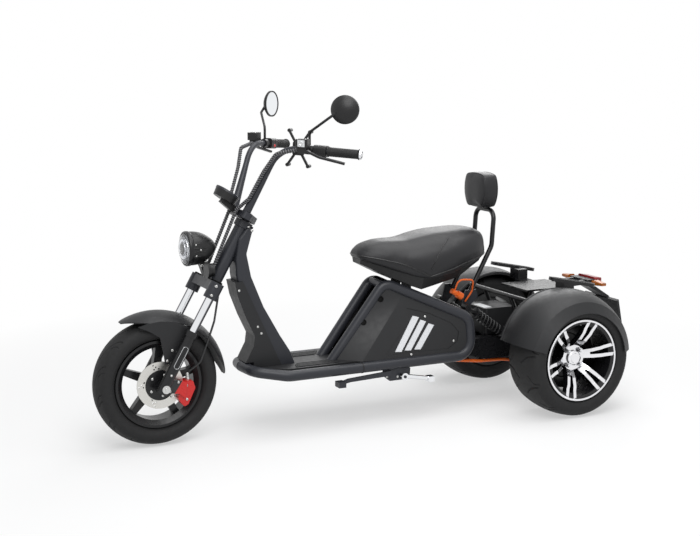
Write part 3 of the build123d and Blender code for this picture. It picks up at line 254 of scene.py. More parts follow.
def ringed(name, colour, rough, turns):
    """Corrugated conduit or ribbed hose: bands across its run."""
    made, tree, shader, coords = new_material(name)
    wave = add(tree, "TexWave", {"Scale": turns, "Vector": coords}, bands_direction="DIAGONAL")
    put(tree, shader, {
        "Base Color": tint(tree, noise(tree, coords, 30), shaded(colour, 0.85), shaded(colour, 1.12)),
        "Roughness": ramp(tree, noise(tree, coords, 60), rough - 0.05, rough + 0.05),
    })
    bump(tree, shader, wave.outputs["Fac"], 0.5, 0.001)
    return made


ANTHRACITE = (0.024, 0.0255, 0.0315)
CHARCOAL = (0.0165, 0.0168, 0.018)
ALLOY = (0.84, 0.84, 0.86)
# columns: name, maker, its values, its options; first the record's slots, then the looks of small pieces
LOOKS = {name: maker(name, *values, **options) for name, maker, values, options in (
    ("frame_paint", finish, (ANTHRACITE, 0.38), dict(grain=420, depth=0.00005, strength=0.2, spec=0.34)),
    ("charcoal_plastic", finish, (CHARCOAL, 0.46), dict(grain=1300, depth=0.00006, strength=0.25, spec=0.3)),
    ("pale_bar", finish, ((0.72, 0.73, 0.75), 0.3), dict(spread=0.05)),
    ("vinyl", vinyl, ((0.013, 0.013, 0.0145),), {}),
    ("black_plastic", finish, ((0.008, 0.008, 0.0085), 0.40), dict(spread=0.2, spec=0.36)),
    ("black_steel", finish, ((0.0075, 0.0075, 0.0085), 0.30),
     dict(spread=0.2, grain=700, depth=0.00004, strength=0.08, spec=0.36)),
    # chrome whose dark streaks are painted reflections
    ("chrome", painted_reflection_chrome, ((0.80, 0.81, 0.83), (0.10, 0.10, 0.11), 0.09), {}),
    ("polished_alloy", turned, (ALLOY, 0.16, REAR_AXLE, 1400, True), {}),
    ("orange_plastic", ringed, ((0.80, 0.13, 0.008), 0.38, 120), {}),
    ("hose_rubber", ringed, ((0.014, 0.014, 0.015), 0.45, 150), {}),
    ("red_lens", clear, ((0.34, 0.008, 0.010), 0.12, 130, 0.3), {}),
    ("amber_lens", clear, ((0.50, 0.14, 0.008), 0.12, 130, 0.3), {}),
    ("red_caliper", two_tone, ((0.56, 0.010, 0.008), (0.012, 0.012, 0.013), 0.3, (1, 0, 0.694), 1.038), {}),
    ("clear_glass", clear, ((0.95, 0.96, 0.98), 0.02, 60), {}),
    ("mirror", finish, ((0.86, 0.88, 0.90), 0.05), dict(metallic=1.0, spread=0.02, depth=0, rough_spread=0.03)),
    ("rubber_grip", finish, ((0.010, 0.010, 0.010), 0.6), dict(spread=0.2, grain=1100, depth=0.0002, spec=0.3)),
    ("tyre_rubber", finish, ((0.018, 0.018, 0.0185), 0.66),
     dict(spread=0.16, grain=1500, depth=0.00012, patch=14, spec=0.24)),
    ("disc_steel", turned, ((0.66, 0.65, 0.62), 0.34, FRONT_AXLE, 2600), {}),
    ("zinc", finish, ((0.58, 0.58, 0.57), 0.28), dict(metallic=1.0, grain=1500, depth=0.00004)),
    ("thread", finish, ((0.035, 0.035, 0.037), 0.7), dict(spread=0.2, grain=2400, depth=0.0002)),
    ("reflector", finish, ((0.86, 0.87, 0.89), 0.08), dict(metallic=1.0, spread=0.03, depth=0)),
    ("dial_face", finish, ((0.010, 0.010, 0.011), 0.35), dict(spread=0.15)),
    ("dial_ink", finish, ((0.75, 0.76, 0.78), 0.5), dict(spread=0.05)),
    ("piping", finish, ((0.006, 0.006, 0.0065), 0.3), dict(spread=0.15)),
    ("plug_black", finish, ((0.002, 0.002, 0.002), 0.6), dict(spread=0.2, spec=0.1)),
    ("pale_plate", finish, ((0.62, 0.63, 0.64), 0.4), dict(spread=0.06)),
    ("wrap_grey", finish, ((0.16, 0.16, 0.17), 0.36), dict(spread=0.15)),
    ("bare_alloy", turned, (ALLOY, 0.16, REAR_AXLE, 1400), {}),
    ("silver_paint", finish, ((0.60, 0.61, 0.62), 0.26), dict(metallic=0.8, spread=0.08)),
    ("red_button", finish, ((0.60, 0.02, 0.02), 0.35), dict(spread=0.1)),
)}
# the record slot that a look stands for: its own, or the one named here, or none
SLOTS = {row["material_slot"]: row["material_slot"] for row in frame["record"]["subparts"]}
SLOTS.update(bare_alloy="polished_alloy", piping="vinyl", wrap_grey="hose_rubber")


def dress_nodes():
    """Give every CAD node the finish of its record slot."""
    for row in frame["record"]["subparts"]:
        data = NODES[row["node"]].data
        data.materials.clear()
        data.materials.append(LOOKS[row["material_slot"]])


# mesh helpers

def dress(made, body, look):
    """A piece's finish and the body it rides."""
    made.data.materials.append(LOOKS[look])
    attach(made, body)


def piece(name, shape, body, look, smooth=True):
    """A mesh piece from its (points, faces)."""
    verts, faces = shape
    mesh = bpy.data.meshes.new(name)
    mesh.from_pydata([tuple(v) for v in verts], [], faces)
    mesh.validate()
    if smooth:
        mesh.shade_smooth()
    made = bpy.data.objects.new(name, mesh)
    bpy.context.scene.collection.objects.link(made)
    work = bmesh.new()
    work.from_mesh(mesh)
    bmesh.ops.recalc_face_normals(work, faces=work.faces)
    work.to_mesh(mesh)
    work.free()
    dress(made, body, look)
    return made


def crisp(name, shape, body, look):
    """A smooth-shaded mesh piece with crisp creases."""
    mesh = piece(name, shape, body, look, True).data
    work = bmesh.new()
    work.from_mesh(mesh)
    for edge in work.edges:
        if len(edge.link_faces) == 2 and edge.calc_face_angle(0) > CREASE:
            edge.smooth = False
    work.to_mesh(mesh)
    work.free()


def axes(direction):
    """Two directions square to the one given."""
    d = Vector(direction).normalized()
    helper = Vector((0, 0, 1)) if abs(d.z) < 0.9 else Vector((1, 0, 0))
    u = d.cross(helper).normalized()
    return u, d.cross(u)


def bands(rows, segments):
    """Faces between rows of points, each row a closed ring."""
    faces = []
    for row in range(rows - 1):
        near, far = row * segments, (row + 1) * segments
        for k in range(segments):
            n = (k + 1) % segments
            faces.append((near + k, near + n, far + n, far + k))
    return faces


def lids(rows, segments):
    """Faces over the first and the last ring."""
    last = (rows - 1) * segments
    return [tuple(reversed(range(segments))), tuple(range(last, last + segments))]


def lathe(profile, centre, direction, segments=32, radius_at=None):
    """Points and faces of a profile of (along, radius) rows turned about an axis, open at both ends."""
    d = Vector(direction).normalized()
    u, w = axes(d)
    verts = []
    for row, (along, radius) in enumerate(profile):
        for k in range(segments):
            a = FULL_TURN * k / segments
            r = radius_at(row, radius, a) if radius_at else radius
            verts.append(Vector(centre) + d * along + (u * math.cos(a) + w * math.sin(a)) * r)
    return verts, bands(len(profile), segments)


def capped(profile, centre, direction, segments=32, radius_at=None):
    """As lathe, with a face over each end."""
    verts, faces = lathe(profile, centre, direction, segments, radius_at)
    return verts, faces + lids(len(profile), segments)


def merge(shapes):
    """Join several (points, faces) shapes."""
    verts, faces = [], []
    for more, sides in shapes:
        base = len(verts)
        verts.extend(more)
        faces.extend(tuple(i + base for i in f) for f in sides)
    return verts, faces


def slab(centre, a, b, c):
    """A flat block from its centre and three half sides."""
    centre, a, b, c = (Vector(v) for v in (centre, a, b, c))
    verts = [centre + a * i + b * j + c * k for i in (-1, 1) for j in (-1, 1) for k in (-1, 1)]
    faces = [(0, 1, 3, 2), (4, 6, 7, 5), (0, 4, 5, 1), (2, 3, 7, 6), (0, 2, 6, 4), (1, 5, 7, 3)]
    return verts, faces


def six_sided(radius, a):
    """The radius at an angle of a hexagon round a circle."""
    return radius / math.cos((a % (math.pi / 3)) - math.pi / 6)


def bolt(centre, direction, r=0.006, h=0.004):
    """A domed screw with a hexagon socket, standing on a face."""
    rows = ((-0.002, r), (h * 0.45, r), (h * 0.8, r * 0.9), (h, r * 0.68), (h, r * 0.46), (h * 0.35, r * 0.42))

    def socket(row, radius, a):
        return six_sided(radius, a) if row >= 4 else radius
    return capped(rows, centre, direction, 18, socket)


def nut(centre, direction, r, h):
    """A six-sided nut with a bevelled top and a stud end."""
    rows = ((-0.001, r * 1.25), (0.0012, r * 1.25), (0.0012, r), (h * 0.85, r), (h, r * 0.88), (h, r * 0.5),
            (h + 0.002, r * 0.45))

    def flats(row, radius, a):
        return six_sided(radius * 0.9, a) if 2 <= row <= 4 else radius
    return capped(rows, centre, direction, 24, flats)


def plug(centre, direction, r=0.0125):
    """A round blanking plug with a dished middle."""
    rows = ((-0.003, r), (0.002, r), (0.0035, r * 0.84), (0.0035, r * 0.64), (0.0012, r * 0.56), (0.0012, r * 0.08))
    return capped(rows, centre, direction, 28)


def arc(a, b, c, steps):
    """Points on the circle through three (y, r) points, from a to c."""
    ax, ay = a
    bx, by = b
    cx, cy = c
    d = 2 * (ax * (by - cy) + bx * (cy - ay) + cx * (ay - by))
    aa, bb, cc = ax * ax + ay * ay, bx * bx + by * by, cx * cx + cy * cy
    ux = (aa * (by - cy) + bb * (cy - ay) + cc * (ay - by)) / d
    uy = (aa * (cx - bx) + bb * (ax - cx) + cc * (bx - ax)) / d
    radius = math.hypot(ax - ux, ay - uy)
    start = math.atan2(ay - uy, ax - ux)
    mid = (math.atan2(by - uy, bx - ux) - start) % FULL_TURN
    end = (math.atan2(cy - uy, cx - ux) - start) % FULL_TURN
    if mid > end:
        end -= FULL_TURN
    return [(ux + radius * math.cos(start + end * k / steps), uy + radius * math.sin(start + end * k / steps))
            for k in range(steps + 1)]


def smooth_line(name, points, closed=False):
    """Curve data for a smooth line led by given points."""
    data = bpy.data.curves.new(name, "CURVE")
    data.dimensions = "3D"
    line = data.splines.new("NURBS")
    line.points.add(len(points) - 1)
    for place, point in zip(line.points, points):
        place.co = (*point, 1)
    line.order_u = 3
    line.use_endpoint_u = not closed
    line.use_cyclic_u = closed
    return data


def cable(name, points, radius, body, look, closed=False):
    """A round cord or bead on a smooth line."""
    data = smooth_line(name, points, closed)
    data.bevel_depth = radius
    data.bevel_resolution = 4
    data.resolution_u = 8
    data.use_fill_caps = True
    made = bpy.data.objects.new(name, data)
    bpy.context.scene.collection.objects.link(made)
    dress(made, body, look)
    return made


def route_points(points, count):
    """Evenly spaced points on a smooth line, and the line's length."""
    data = smooth_line("route", points)
    data.resolution_u = 24
    made = bpy.data.objects.new("route", data)
    mesh = bpy.data.meshes.new_from_object(made)
    raw = [v.co.copy() for v in mesh.vertices]
    bpy.data.meshes.remove(mesh)
    bpy.data.objects.remove(made)
    runs = [0.0]
    for a, b in zip(raw, raw[1:]):
        runs.append(runs[-1] + (b - a).length)
    out, at = [], 0
    for k in range(count):
        goal = runs[-1] * k / (count - 1)
        while at < len(runs) - 2 and runs[at + 1] < goal:
            at += 1
        gap = runs[at + 1] - runs[at]
        out.append(raw[at].lerp(raw[at + 1], (goal - runs[at]) / gap if gap else 0))
    return out, runs[-1]


def heading(points, k):
    """The direction of a line of points at one of them."""
    return (points[min(k + 1, len(points) - 1)] - points[max(k - 1, 0)]).normalized()


# tyres and wheels

def groove_depth(across, angle, rules):
    """Depth of the tread's cuts at a place on the tyre; the tread tables name a rule's columns."""
    depth = 0.0
    side = abs(across)
    for count, near, far, sweep, width, deep, phase in rules:
        if not near - width <= side <= far + width:
            continue
        mirror_phase = phase + (0.5 if across < 0 else 0.0)
        part = unit((side - near) / (far - near))
        centre = sweep * part + 0.25 * sweep * math.sin(part * math.pi)
        step = FULL_TURN / count
        off = (angle - centre - mirror_phase * step + step / 2) % step - step / 2
        reach = abs(off) * WHEEL_R / width
        end = min(1.0, max(0.0, (side - near + width) / width), max(0.0, (far + width - side) / width))
        if reach < 1:
            depth = max(depth, deep * end * min(1.0, 1.6 * (1 - reach)))
    return depth


def tyre(name, node, body, centre, half, bead, shoulder, shoulder_drop, rules, rings):
    """A tyre as a fine turned skin whose tread has cuts in its surface and rings on its walls."""
    turns = 720
    wall_r = (WHEEL_R + FLANGE_R) / 2 - 0.004
    crown = (shoulder, WHEEL_R - shoulder_drop)
    foot = (bead, FLANGE_R + 0.0035)
    right = arc(foot, (half, wall_r), crown, 22)
    top = arc(crown, (0, WHEEL_R), (-crown[0], crown[1]), 44)
    left = [(-y, r) for y, r in reversed(right)]
    profile = [(bead, BEAD_R + 0.0006)] + right + top[1:-1] + left + [(-bead, BEAD_R + 0.0006)]
    verts, faces = [], []
    count = len(profile)
    for k in range(turns):
        a = FULL_TURN * k / turns
        for y, r in profile:
            cut = groove_depth(y, a, rules) if r > wall_r - 0.004 else 0.0
            swell = 0.0
            if abs(y) > shoulder * 0.8:
                swell = sum(ring_h * max(0.0, 1 - abs(r - ring_r) / 0.003) for ring_r, ring_h in rings)
            y += math.copysign(swell, y)
            verts.append(centre + Vector(((r - cut) * math.cos(a), y, (r - cut) * math.sin(a))))
    for k in range(turns):
        here, there = k * count, (k + 1) % turns * count
        for row in range(count):
            n = (row + 1) % count
            faces.append((here + row, there + row, there + n, here + n))
    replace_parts(piece(name, (verts, faces), body, "tyre_rubber"), node)


# columns: cuts round the tyre, start across, end across, sweep round, half width, depth, phase
FRONT_TREAD = (
    (13, 0.010, 0.053, 0.42, 0.0030, 0.0050, 0.0),
    (13, 0.034, 0.056, 0.09, 0.0026, 0.0040, 0.45),
)
REAR_TREAD = (
    (11, 0.012, 0.090, 0.16, 0.0036, 0.0060, 0.0),
    (11, 0.052, 0.097, -0.15, 0.0034, 0.0055, 0.64),
)
# columns: radius and height of each ring on the walls
FRONT_RINGS = ((0.176, 0.0012), (0.186, 0.0008))
REAR_RINGS = ((0.178, 0.0012), (0.190, 0.0008))


def tyres():
    tyre("front_tyre_tread", "front_tyre", "front_wheel", FRONT_AXLE, 0.065, 0.038, 0.042, 0.010,
         FRONT_TREAD, FRONT_RINGS)
    for side, sign in SIDES:
        tyre("rear_tyre_tread_" + side, "rear_tyre_" + side, "rear_wheel_" + side,
             REAR_AXLE + Vector((0, sign * REAR_TYRE_Y, 0)), 0.1075, 0.088, 0.084, 0.008, REAR_TREAD, REAR_RINGS)


def ramped(centre, radial, across, out, ends):
    """A thin wedge on a wheel's face between two ends, each a radius, a height along the axle and two widths."""
    verts = []
    for r, h, *widths in ends:
        for width in widths:
            for lift in (0.0008, -0.003):
                verts.append(centre + radial * r + across * width + out * (h + lift))
    faces = [(0, 2, 6, 4), (1, 5, 7, 3), (0, 4, 5, 1), (2, 3, 7, 6), (0, 1, 3, 2), (4, 6, 7, 5)]
    return verts, faces


# columns: height along the axle, radius
RIM_LIP = ((0.0945, 0.1582), (0.0960, 0.1588), (0.0977, 0.1610), (0.0985, 0.1650), (0.0982, 0.1682), (0.0965, 0.1690),
           (0.0945, 0.1680))
BRAKE_DRUM = ((-0.050, 0.136), (-0.020, 0.138), (-0.016, 0.132), (-0.016, 0.095), (-0.022, 0.090), (-0.022, 0.045),
              (-0.010, 0.040), (-0.010, 0.024), (-0.050, 0.024))
HUB_CAP = ((0.043, 0.0305), (0.047, 0.0300), (0.050, 0.027), (0.0515, 0.021), (0.0500, 0.0185), (0.0515, 0.012),
           (0.0520, 0.004))
# columns: radius, height along the axle, two widths
SPOKE_FOOT = ((0.128, 0.0834, 0.0106, 0.0246), (0.1606, 0.0976, 0.0138, 0.0276))
SPOKE_GAP = ((0.1395, 0.0864, -0.0116, 0.0116), (0.1500, 0.0893, -0.0116, 0.0116))
SPOKE_START = {"left": 48, "right": 12}
BOLT_CIRCLE = 0.041


def bolt_ring(centre, height, start, count):
    """Places on a wheel's bolt circle."""
    for k in range(count):
        a = math.radians(start + 360 / count * k)
        yield centre + Vector((-BOLT_CIRCLE * math.cos(a), height, BOLT_CIRCLE * math.sin(a)))


def wheel_trim():
    """Rim lips, spoke ends, drums, hub caps and nuts on the rear wheels; bolts on the front wheel's disc."""
    for side, sign in SIDES:
        body = "rear_wheel_" + side
        centre = REAR_AXLE + Vector((0, sign * REAR_TYRE_Y, 0))
        out = Vector((0, sign, 0))
        piece("rim_lip_" + side, lathe(RIM_LIP, centre, out, 160), body, "bare_alloy")
        feet, gaps = [], []
        for k in range(6):
            a = math.radians(SPOKE_START[side] + 60 * k)
            radial = Vector((math.cos(a), 0, math.sin(a)))
            across = Vector((-math.sin(a), 0, math.cos(a)))
            for leg in BOTH:
                feet.append(ramped(centre, radial, across * leg, out, SPOKE_FOOT))
            gaps.append(ramped(centre, radial, across, out, SPOKE_GAP))
        piece("spoke_feet_" + side, merge(feet), body, "bare_alloy", False)
        piece("spoke_gaps_" + side, merge(gaps), body, "black_steel", False)
        crisp("brake_drum_" + side, lathe(BRAKE_DRUM, centre, out, 72), body, "black_steel")
        crisp("hub_cap_" + side, capped(HUB_CAP, centre, out, 48), body, "bare_alloy")
        nuts = [nut(place, out, 0.0078, 0.007) for place in bolt_ring(centre, sign * 0.0462, 45, 4)]
        crisp("wheel_nuts_" + side, merge(nuts), body, "chrome")
    studs = [bolt(place, (0, 1, 0), 0.0055, 0.004) for place in bolt_ring(FRONT_AXLE, 0.062, 66, 5)]
    crisp("disc_bolts", merge(studs), "front_wheel", "zinc")


# springs

def springs():
    """Open coils round the dampers."""
    axis = SHOCK_TOP - SHOCK_LOW
    low, high = 0.034, axis.length - 0.054
    turns, coil_r, wire, per_turn = 7.5, 0.0195, 0.0042, 20
    for side, sign in SIDES:
        foot = sided(SHOCK_LOW, sign)
        d = sided(axis, sign).normalized()
        u, w = axes(d)
        points = []
        for k in range(int(turns * per_turn) + 1):
            a = FULL_TURN * k / per_turn
            along = low + wire + (high - low - 2 * wire) * k / (turns * per_turn)
            points.append(foot + d * along + (u * math.cos(a) + w * math.sin(a)) * coil_r)
        coil = cable("shock_coil_" + side, points, wire, "chassis", "black_steel")
        if sign > 0:
            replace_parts(coil, "shock_springs")


# soft pieces

def relax(work, passes):
    for _ in range(passes):
        bmesh.ops.smooth_vert(work, verts=work.verts, factor=0.5, use_axis_x=True, use_axis_y=True, use_axis_z=True)


def swollen(name, node, voxel, hold=None, dip=None):
    """A CAD soft solid copied, remeshed, swelled by cloth pressure and smoothed. hold tells how far a point may leave
    its solid, 0 to 1, and dip how far its top is raised."""
    shrink, most = 0.002, 0.005
    made = bpy.data.objects.new(name, NODES[node].data.copy())
    bpy.context.scene.collection.objects.link(made)
    bpy.context.view_layer.objects.active = made
    remesh = made.modifiers.new("remesh", "REMESH")
    remesh.mode = "VOXEL"
    remesh.voxel_size = voxel
    apply(made)
    work = bmesh.new()
    work.from_mesh(made.data)
    relax(work, 2)
    solid = [v.co.copy() for v in work.verts]
    relax(work, 4)
    work.normal_update()
    for v in work.verts:
        v.co -= v.normal * shrink
    work.to_mesh(made.data)
    work.free()
    rest = [v.co.copy() for v in made.data.vertices]
    cloth = made.modifiers.new("cloth", "CLOTH")
    cloth.settings.use_pressure = True
    cloth.settings.uniform_pressure_force = 3.0
    cloth.settings.effector_weights.gravity = 0
    cloth.settings.quality = 4
    cloth.settings.tension_stiffness = 40
    cloth.settings.compression_stiffness = 40
    cloth.collision_settings.use_collision = False
    for step in range(1, 21):
        bpy.context.scene.frame_set(step)
    apply(made)
    for v, start in zip(made.data.vertices, rest):
        move = v.co - start
        if move.length > most:
            v.co = start + move.normalized() * most
    bpy.context.scene.frame_set(1)
    work = bmesh.new()
    work.from_mesh(made.data)
    relax(work, 10)
    for v, start in zip(work.verts, solid):
        if hold:
            v.co = start.lerp(v.co, hold(start))
        if dip:
            v.co.z += dip(start)
    work.to_mesh(made.data)
    work.free()
    detail = made.modifiers.new("detail", "SUBSURF")
    detail.levels = 1
    detail.render_levels = 1
    apply(made)
    made.data.shade_smooth()
    made.data.materials.clear()
    dress(made, "chassis", "vinyl")
    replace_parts(made, node)
    return BVHTree.FromObject(made, bpy.context.evaluated_depsgraph_get())


def apply(made):
    """Bake a piece's modifiers into its mesh."""
    graph = bpy.context.evaluated_depsgraph_get()
    graph.update()
    mesh = bpy.data.meshes.new_from_object(made.evaluated_get(graph))
    made.modifiers.clear()
    made.data = mesh


def landings(skin, rays):
    """Where rays, each a start and a direction, meet a skin, with its normals there; misses are left out."""
    found = (skin.ray_cast(Vector(start), Vector(aim).normalized()) for start, aim in rays)
    return [(hit, normal) for hit, normal, _, _ in found if hit]


def stitches(name, places, body, length, r=0.0005):
    """A row of short raised stitches along points with normals."""
    rows = ((-length / 2, r * 0.4), (-length * 0.3, r), (length * 0.3, r), (length / 2, r * 0.4))
    shapes = []
    for (a, n), (b, _) in zip(places, places[1:]):
        if (b - a).length >= 1e-6:
            shapes.append(capped(rows, (a + b) / 2 + n * r * 0.6, b - a, 6))
    piece(name, merge(shapes), body, "thread")


# columns: x and height of the saddle's lower edge
SADDLE_EDGE = ((0.100, 0.668), (0.060, 0.646), (-0.040, 0.613), (-0.170, 0.578), (-0.330, 0.604), (-0.440, 0.637),
               (-0.490, 0.657))
EDGE_LIFT = 0.004


def seam_height(x):
    """Height of the piping round the saddle's lower edge."""
    for (x0, z0), (x1, z1) in zip(SADDLE_EDGE, SADDLE_EDGE[1:]):
        if x0 >= x >= x1:
            return z0 + (z1 - z0) * (x0 - x) / (x0 - x1) + EDGE_LIFT
    return SADDLE_EDGE[0 if x > SADDLE_EDGE[0][0] else -1][1] + EDGE_LIFT


def saddle_hold(p):
    """None of the cover's foot leaves the pan; above it the cover is free."""
    return unit((p.z - seam_height(p.x) - 0.004) / 0.03)


def saddle_dip(p):
    """The seat's hollow before its raised back half, only on the upper side."""
    upper = unit((p.z - 0.66) / 0.05)
    return upper * (0.006 * math.exp(-((p.x + 0.25) / 0.08) ** 2) - 0.006 * math.exp(-((p.x + 0.105) / 0.06) ** 2))


def seat():
    """The saddle's cover, the piping round its lower edge and its stitched side seams."""
    skin = swollen("saddle_cover", "seat_cushion", 0.006, saddle_hold, saddle_dip)
    centre_x, half_length, away = -0.19, 0.29, 0.6
    rays = []
    for k in range(96):
        a = FULL_TURN * k / 96
        aim = Vector((math.cos(a), math.sin(a), 0))
        height = seam_height(centre_x + aim.x * half_length)
        rays.append((Vector((centre_x, 0, height)) + aim * away, -aim))
    cable("saddle_piping", [h + n * 0.0005 for h, n in landings(skin, rays)], 0.0030, "chassis", "piping", True)
    for side, sign in SIDES:
        outside, inward = sign * 0.4, (0, -sign, 0)
        rays = []
        for k in range(64):
            part = k / 63
            rays.append(((-0.176 - 0.052 * part - 0.054 * part ** 3, outside, 0.608 + 0.124 * part), inward))
        row = landings(skin, rays)
        cable("saddle_seam_" + side, [h + n * 0.0006 for h, n in row], 0.0017, "chassis", "piping")
        for name, shift in (("fore", 0.006), ("aft", -0.006)):
            line = landings(skin, [((h.x + shift, outside, h.z), inward) for h, _ in row])
            stitches("saddle_stitch_" + name + "_" + side, line, "chassis", 0.0020)


def backrest():
    """The backrest's cover with piping round its front and its back."""
    skin = swollen("backrest_cover", "backrest_pad", 0.005)
    for name, x in (("front", -0.474), ("rear", -0.530)):
        aims = [Vector((0, math.cos(FULL_TURN * k / 64), math.sin(FULL_TURN * k / 64))) for k in range(64)]
        ring = landings(skin, [(Vector((x, 0, 0.908)) + aim * 0.3, -aim) for aim in aims])
        cable("backrest_piping_" + name, [h + n * 0.0003 for h, n in ring], 0.0022, "chassis", "vinyl", True)


# bolts, plugs and small fittings

SKINS = {}


def stuck(node, x, z, sign):
    """The outermost place of a CAD node at x and z on one side, with its outward normal."""
    if node not in SKINS:
        mesh = NODES[node].data
        SKINS[node] = BVHTree.FromPolygons([v.co for v in mesh.vertices], [tuple(p.vertices) for p in mesh.polygons])
    found = landings(SKINS[node], [((x, sign * 0.6, z), (0, -sign, 0))])
    if not found:
        raise ValueError("nothing of %s at %.3f, %.3f" % (node, x, z))
    hit, normal = found[0]
    return hit, normal if normal.y * sign > 0 else -normal


# columns: piece, CAD node, body, x and z of each one, radius, height, sides
SCREWS = (
    ("panel_bolts", "side_panel_{}", "chassis", ((-0.1685, 0.414), (-0.288, 0.307), (-0.090, 0.270)),
     0.0050, 0.0036, BOTH),
    ("cover_bolts", "neck_cover", "chassis", ((0.610, 0.572), (0.535, 0.424), (0.520, 0.396)), 0.0050, 0.0036, BOTH),
    ("neck_bolts", "neck", "chassis", ((0.562, 0.814), (0.552, 0.800)), 0.0062, 0.005, BOTH),
    ("stand_bolts", "stand_plate", "chassis", ((-0.0244, 0.187), (0.024, 0.192)), 0.0050, 0.0036, LEFT),
    ("lamp_screws", "headlamp_shell", "steering", ((0.784, 0.762), (0.766, 0.742), (0.783, 0.720)),
     0.0034, 0.0026, BOTH),
    ("lamp_bracket_bolts", "headlamp_shell", "steering", ((0.746, 0.675), (0.731, 0.690)), 0.0060, 0.0045, BOTH),
    ("guard_bolts", "front_mudguard", "steering", ((0.891, 0.373), (0.912, 0.335)), 0.0058, 0.0042, BOTH),
    ("caliper_bolts", "brake_caliper", "steering",
     ((0.877, 0.254), (0.910, 0.222), (0.842, 0.236), (0.842, 0.182)), 0.0056, 0.0050, LEFT),
)
PLUGS = ((0.012, 0.494), (0.0885, 0.4055))
# columns: along, radius
TUBE_CAP = ((-0.006, 0.0180), (0.0012, 0.0180), (0.0022, 0.0168), (0.0022, 0.0080), (0.0010, 0.0070), (0.0010, 0.0010))
HEAD_CUP = ((0.4375, 0.0235), (0.4375, 0.0255), (0.4400, 0.0262), (0.4425, 0.0255), (0.4425, 0.0235))
HOSE_UNION = ((-0.004, 0.0075), (0.004, 0.0080), (0.012, 0.0074), (0.013, 0.0060), (0.026, 0.0058), (0.027, 0.0052))
RAIL_STRAP = ((-0.0022, 0.0208), (-0.0022, 0.0223), (0.0022, 0.0223), (0.0022, 0.0208))


def fittings():
    for name, node, body, places, r, h, signs in SCREWS:
        shapes = []
        for sign in signs:
            for x, z in places:
                shapes.append(bolt(*stuck(node.format("left" if sign > 0 else "right"), x, z, sign), r, h))
        crisp(name, merge(shapes), body, "zinc")
    plugs = [plug(*stuck("side_panel_" + side, x, z, sign)) for side, sign in SIDES for x, z in PLUGS]
    crisp("panel_plugs", merge(plugs), "chassis", "plug_black")
    clamp = [bolt(fork(0.010, sign * (LEG_Y + 0.0262), s), (0, sign, 0), 0.006, 0.006)
             for sign in BOTH for s in (0.386, 0.424)]
    clamp += [bolt(fork(-0.010, y, CLAMP_TOP), FORK_UP, 0.0075, 0.006) for y in (-0.05, 0.05)]
    clamp.append(bolt(fork(HEAD_T, 0, CLAMP_TOP), FORK_UP, 0.014, 0.009))
    crisp("fork_bolts", merge(clamp), "steering", "zinc")
    # dark caps over the bright ends of the fork tubes
    top = max((v.co - FRONT_AXLE).dot(FORK_UP) for v in NODES["fork_tubes"].data.vertices)
    caps = [capped(TUBE_CAP, fork(0, sign * LEG_Y, top), FORK_UP, 32) for sign in BOTH]
    crisp("fork_caps", merge(caps), "steering", "plug_black")
    # the lower head bearing, turned about the steering axis
    crisp("head_bearing", lathe(HEAD_CUP, fork(HEAD_T, 0, 0), FORK_UP, 40), "steering", "plug_black")
    # a bright line round each leg's flat, and the drain screw below it
    flat_r, flat_half, flat_s = 0.0104, 0.0352, 0.128
    for side, sign in SIDES:
        line = []
        for end in BOTH:
            for k in range(9):
                a = math.pi * k / 8
                line.append(fork(end * flat_r * math.cos(a), sign * (LEG_Y + 0.0181),
                                 flat_s + end * (flat_half + flat_r * math.sin(a))))
        cable("leg_line_" + side, line, 0.0011, "steering", "silver_paint", True)
    drains = [bolt(fork(0.004, sign * (LEG_Y + SLIDER_R), 0.054), (0, sign, 0), 0.0048, 0.004) for sign in BOTH]
    crisp("leg_bolts", merge(drains), "steering", "zinc")
    washer = nut(FRONT_AXLE + Vector((0, LEG_Y + SLIDER_R + 0.011, 0)), (0, 1, 0), 0.0125, 0.002)
    crisp("axle_washer", washer, "steering", "zinc")
    # the brake hose's bright union
    crisp("hose_union", lathe(HOSE_UNION, (0.832, 0.070, 0.254), (0, 0, 1), 20), "steering", "zinc")
    # blank pale plate on the controller
    plate = slab((-0.510, 0.012, 0.4106), (0.019, 0, 0), (0, 0.046, 0), (0, 0, 0.0008))
    crisp("controller_plate", plate, "chassis", "pale_plate")
    # strap that holds the wiring to each rail
    for side, sign in SIDES:
        strap = lathe(RAIL_STRAP, (0.135, sign * RAIL_Y, 0.240), (1, 0, 0), 40)
        crisp("rail_strap_" + side, strap, "chassis", "black_plastic")


# hoses: a spiral wrap that follows each hose's route

CONTROL_ROUTE = (
    PERCH_AT + LEVER_OUT * 0.038 - BAR_DIR * 0.0189,
    Vector((0.506, 0.178, 1.102)),
    Vector((0.538, 0.128, 1.030)),
    Vector((0.582, 0.094, 0.930)),
    Vector((0.611, 0.033, 0.882)),
    Vector((0.674, 0.031, 0.740)),
    Vector((0.725, 0.031, 0.625)),
)
CONTROL_BENDS = (0.030, 0.060, 0.024, 0.024, 0.040)


def rounded(points, bends):
    """Route points with each corner's bend marked by a point where it starts, one in it and one where it ends."""
    out = [points[0]]
    for before, at, after, bend in zip(points, points[1:], points[2:], bends):
        back, on = (before - at).normalized(), (after - at).normalized()
        reach = bend * math.tan((math.pi - back.angle(on)) / 2)
        out += [at + back * reach * 1.2, at + (back + on) * reach * 0.1, at + on * reach * 1.2]
    return out + [points[-1]]


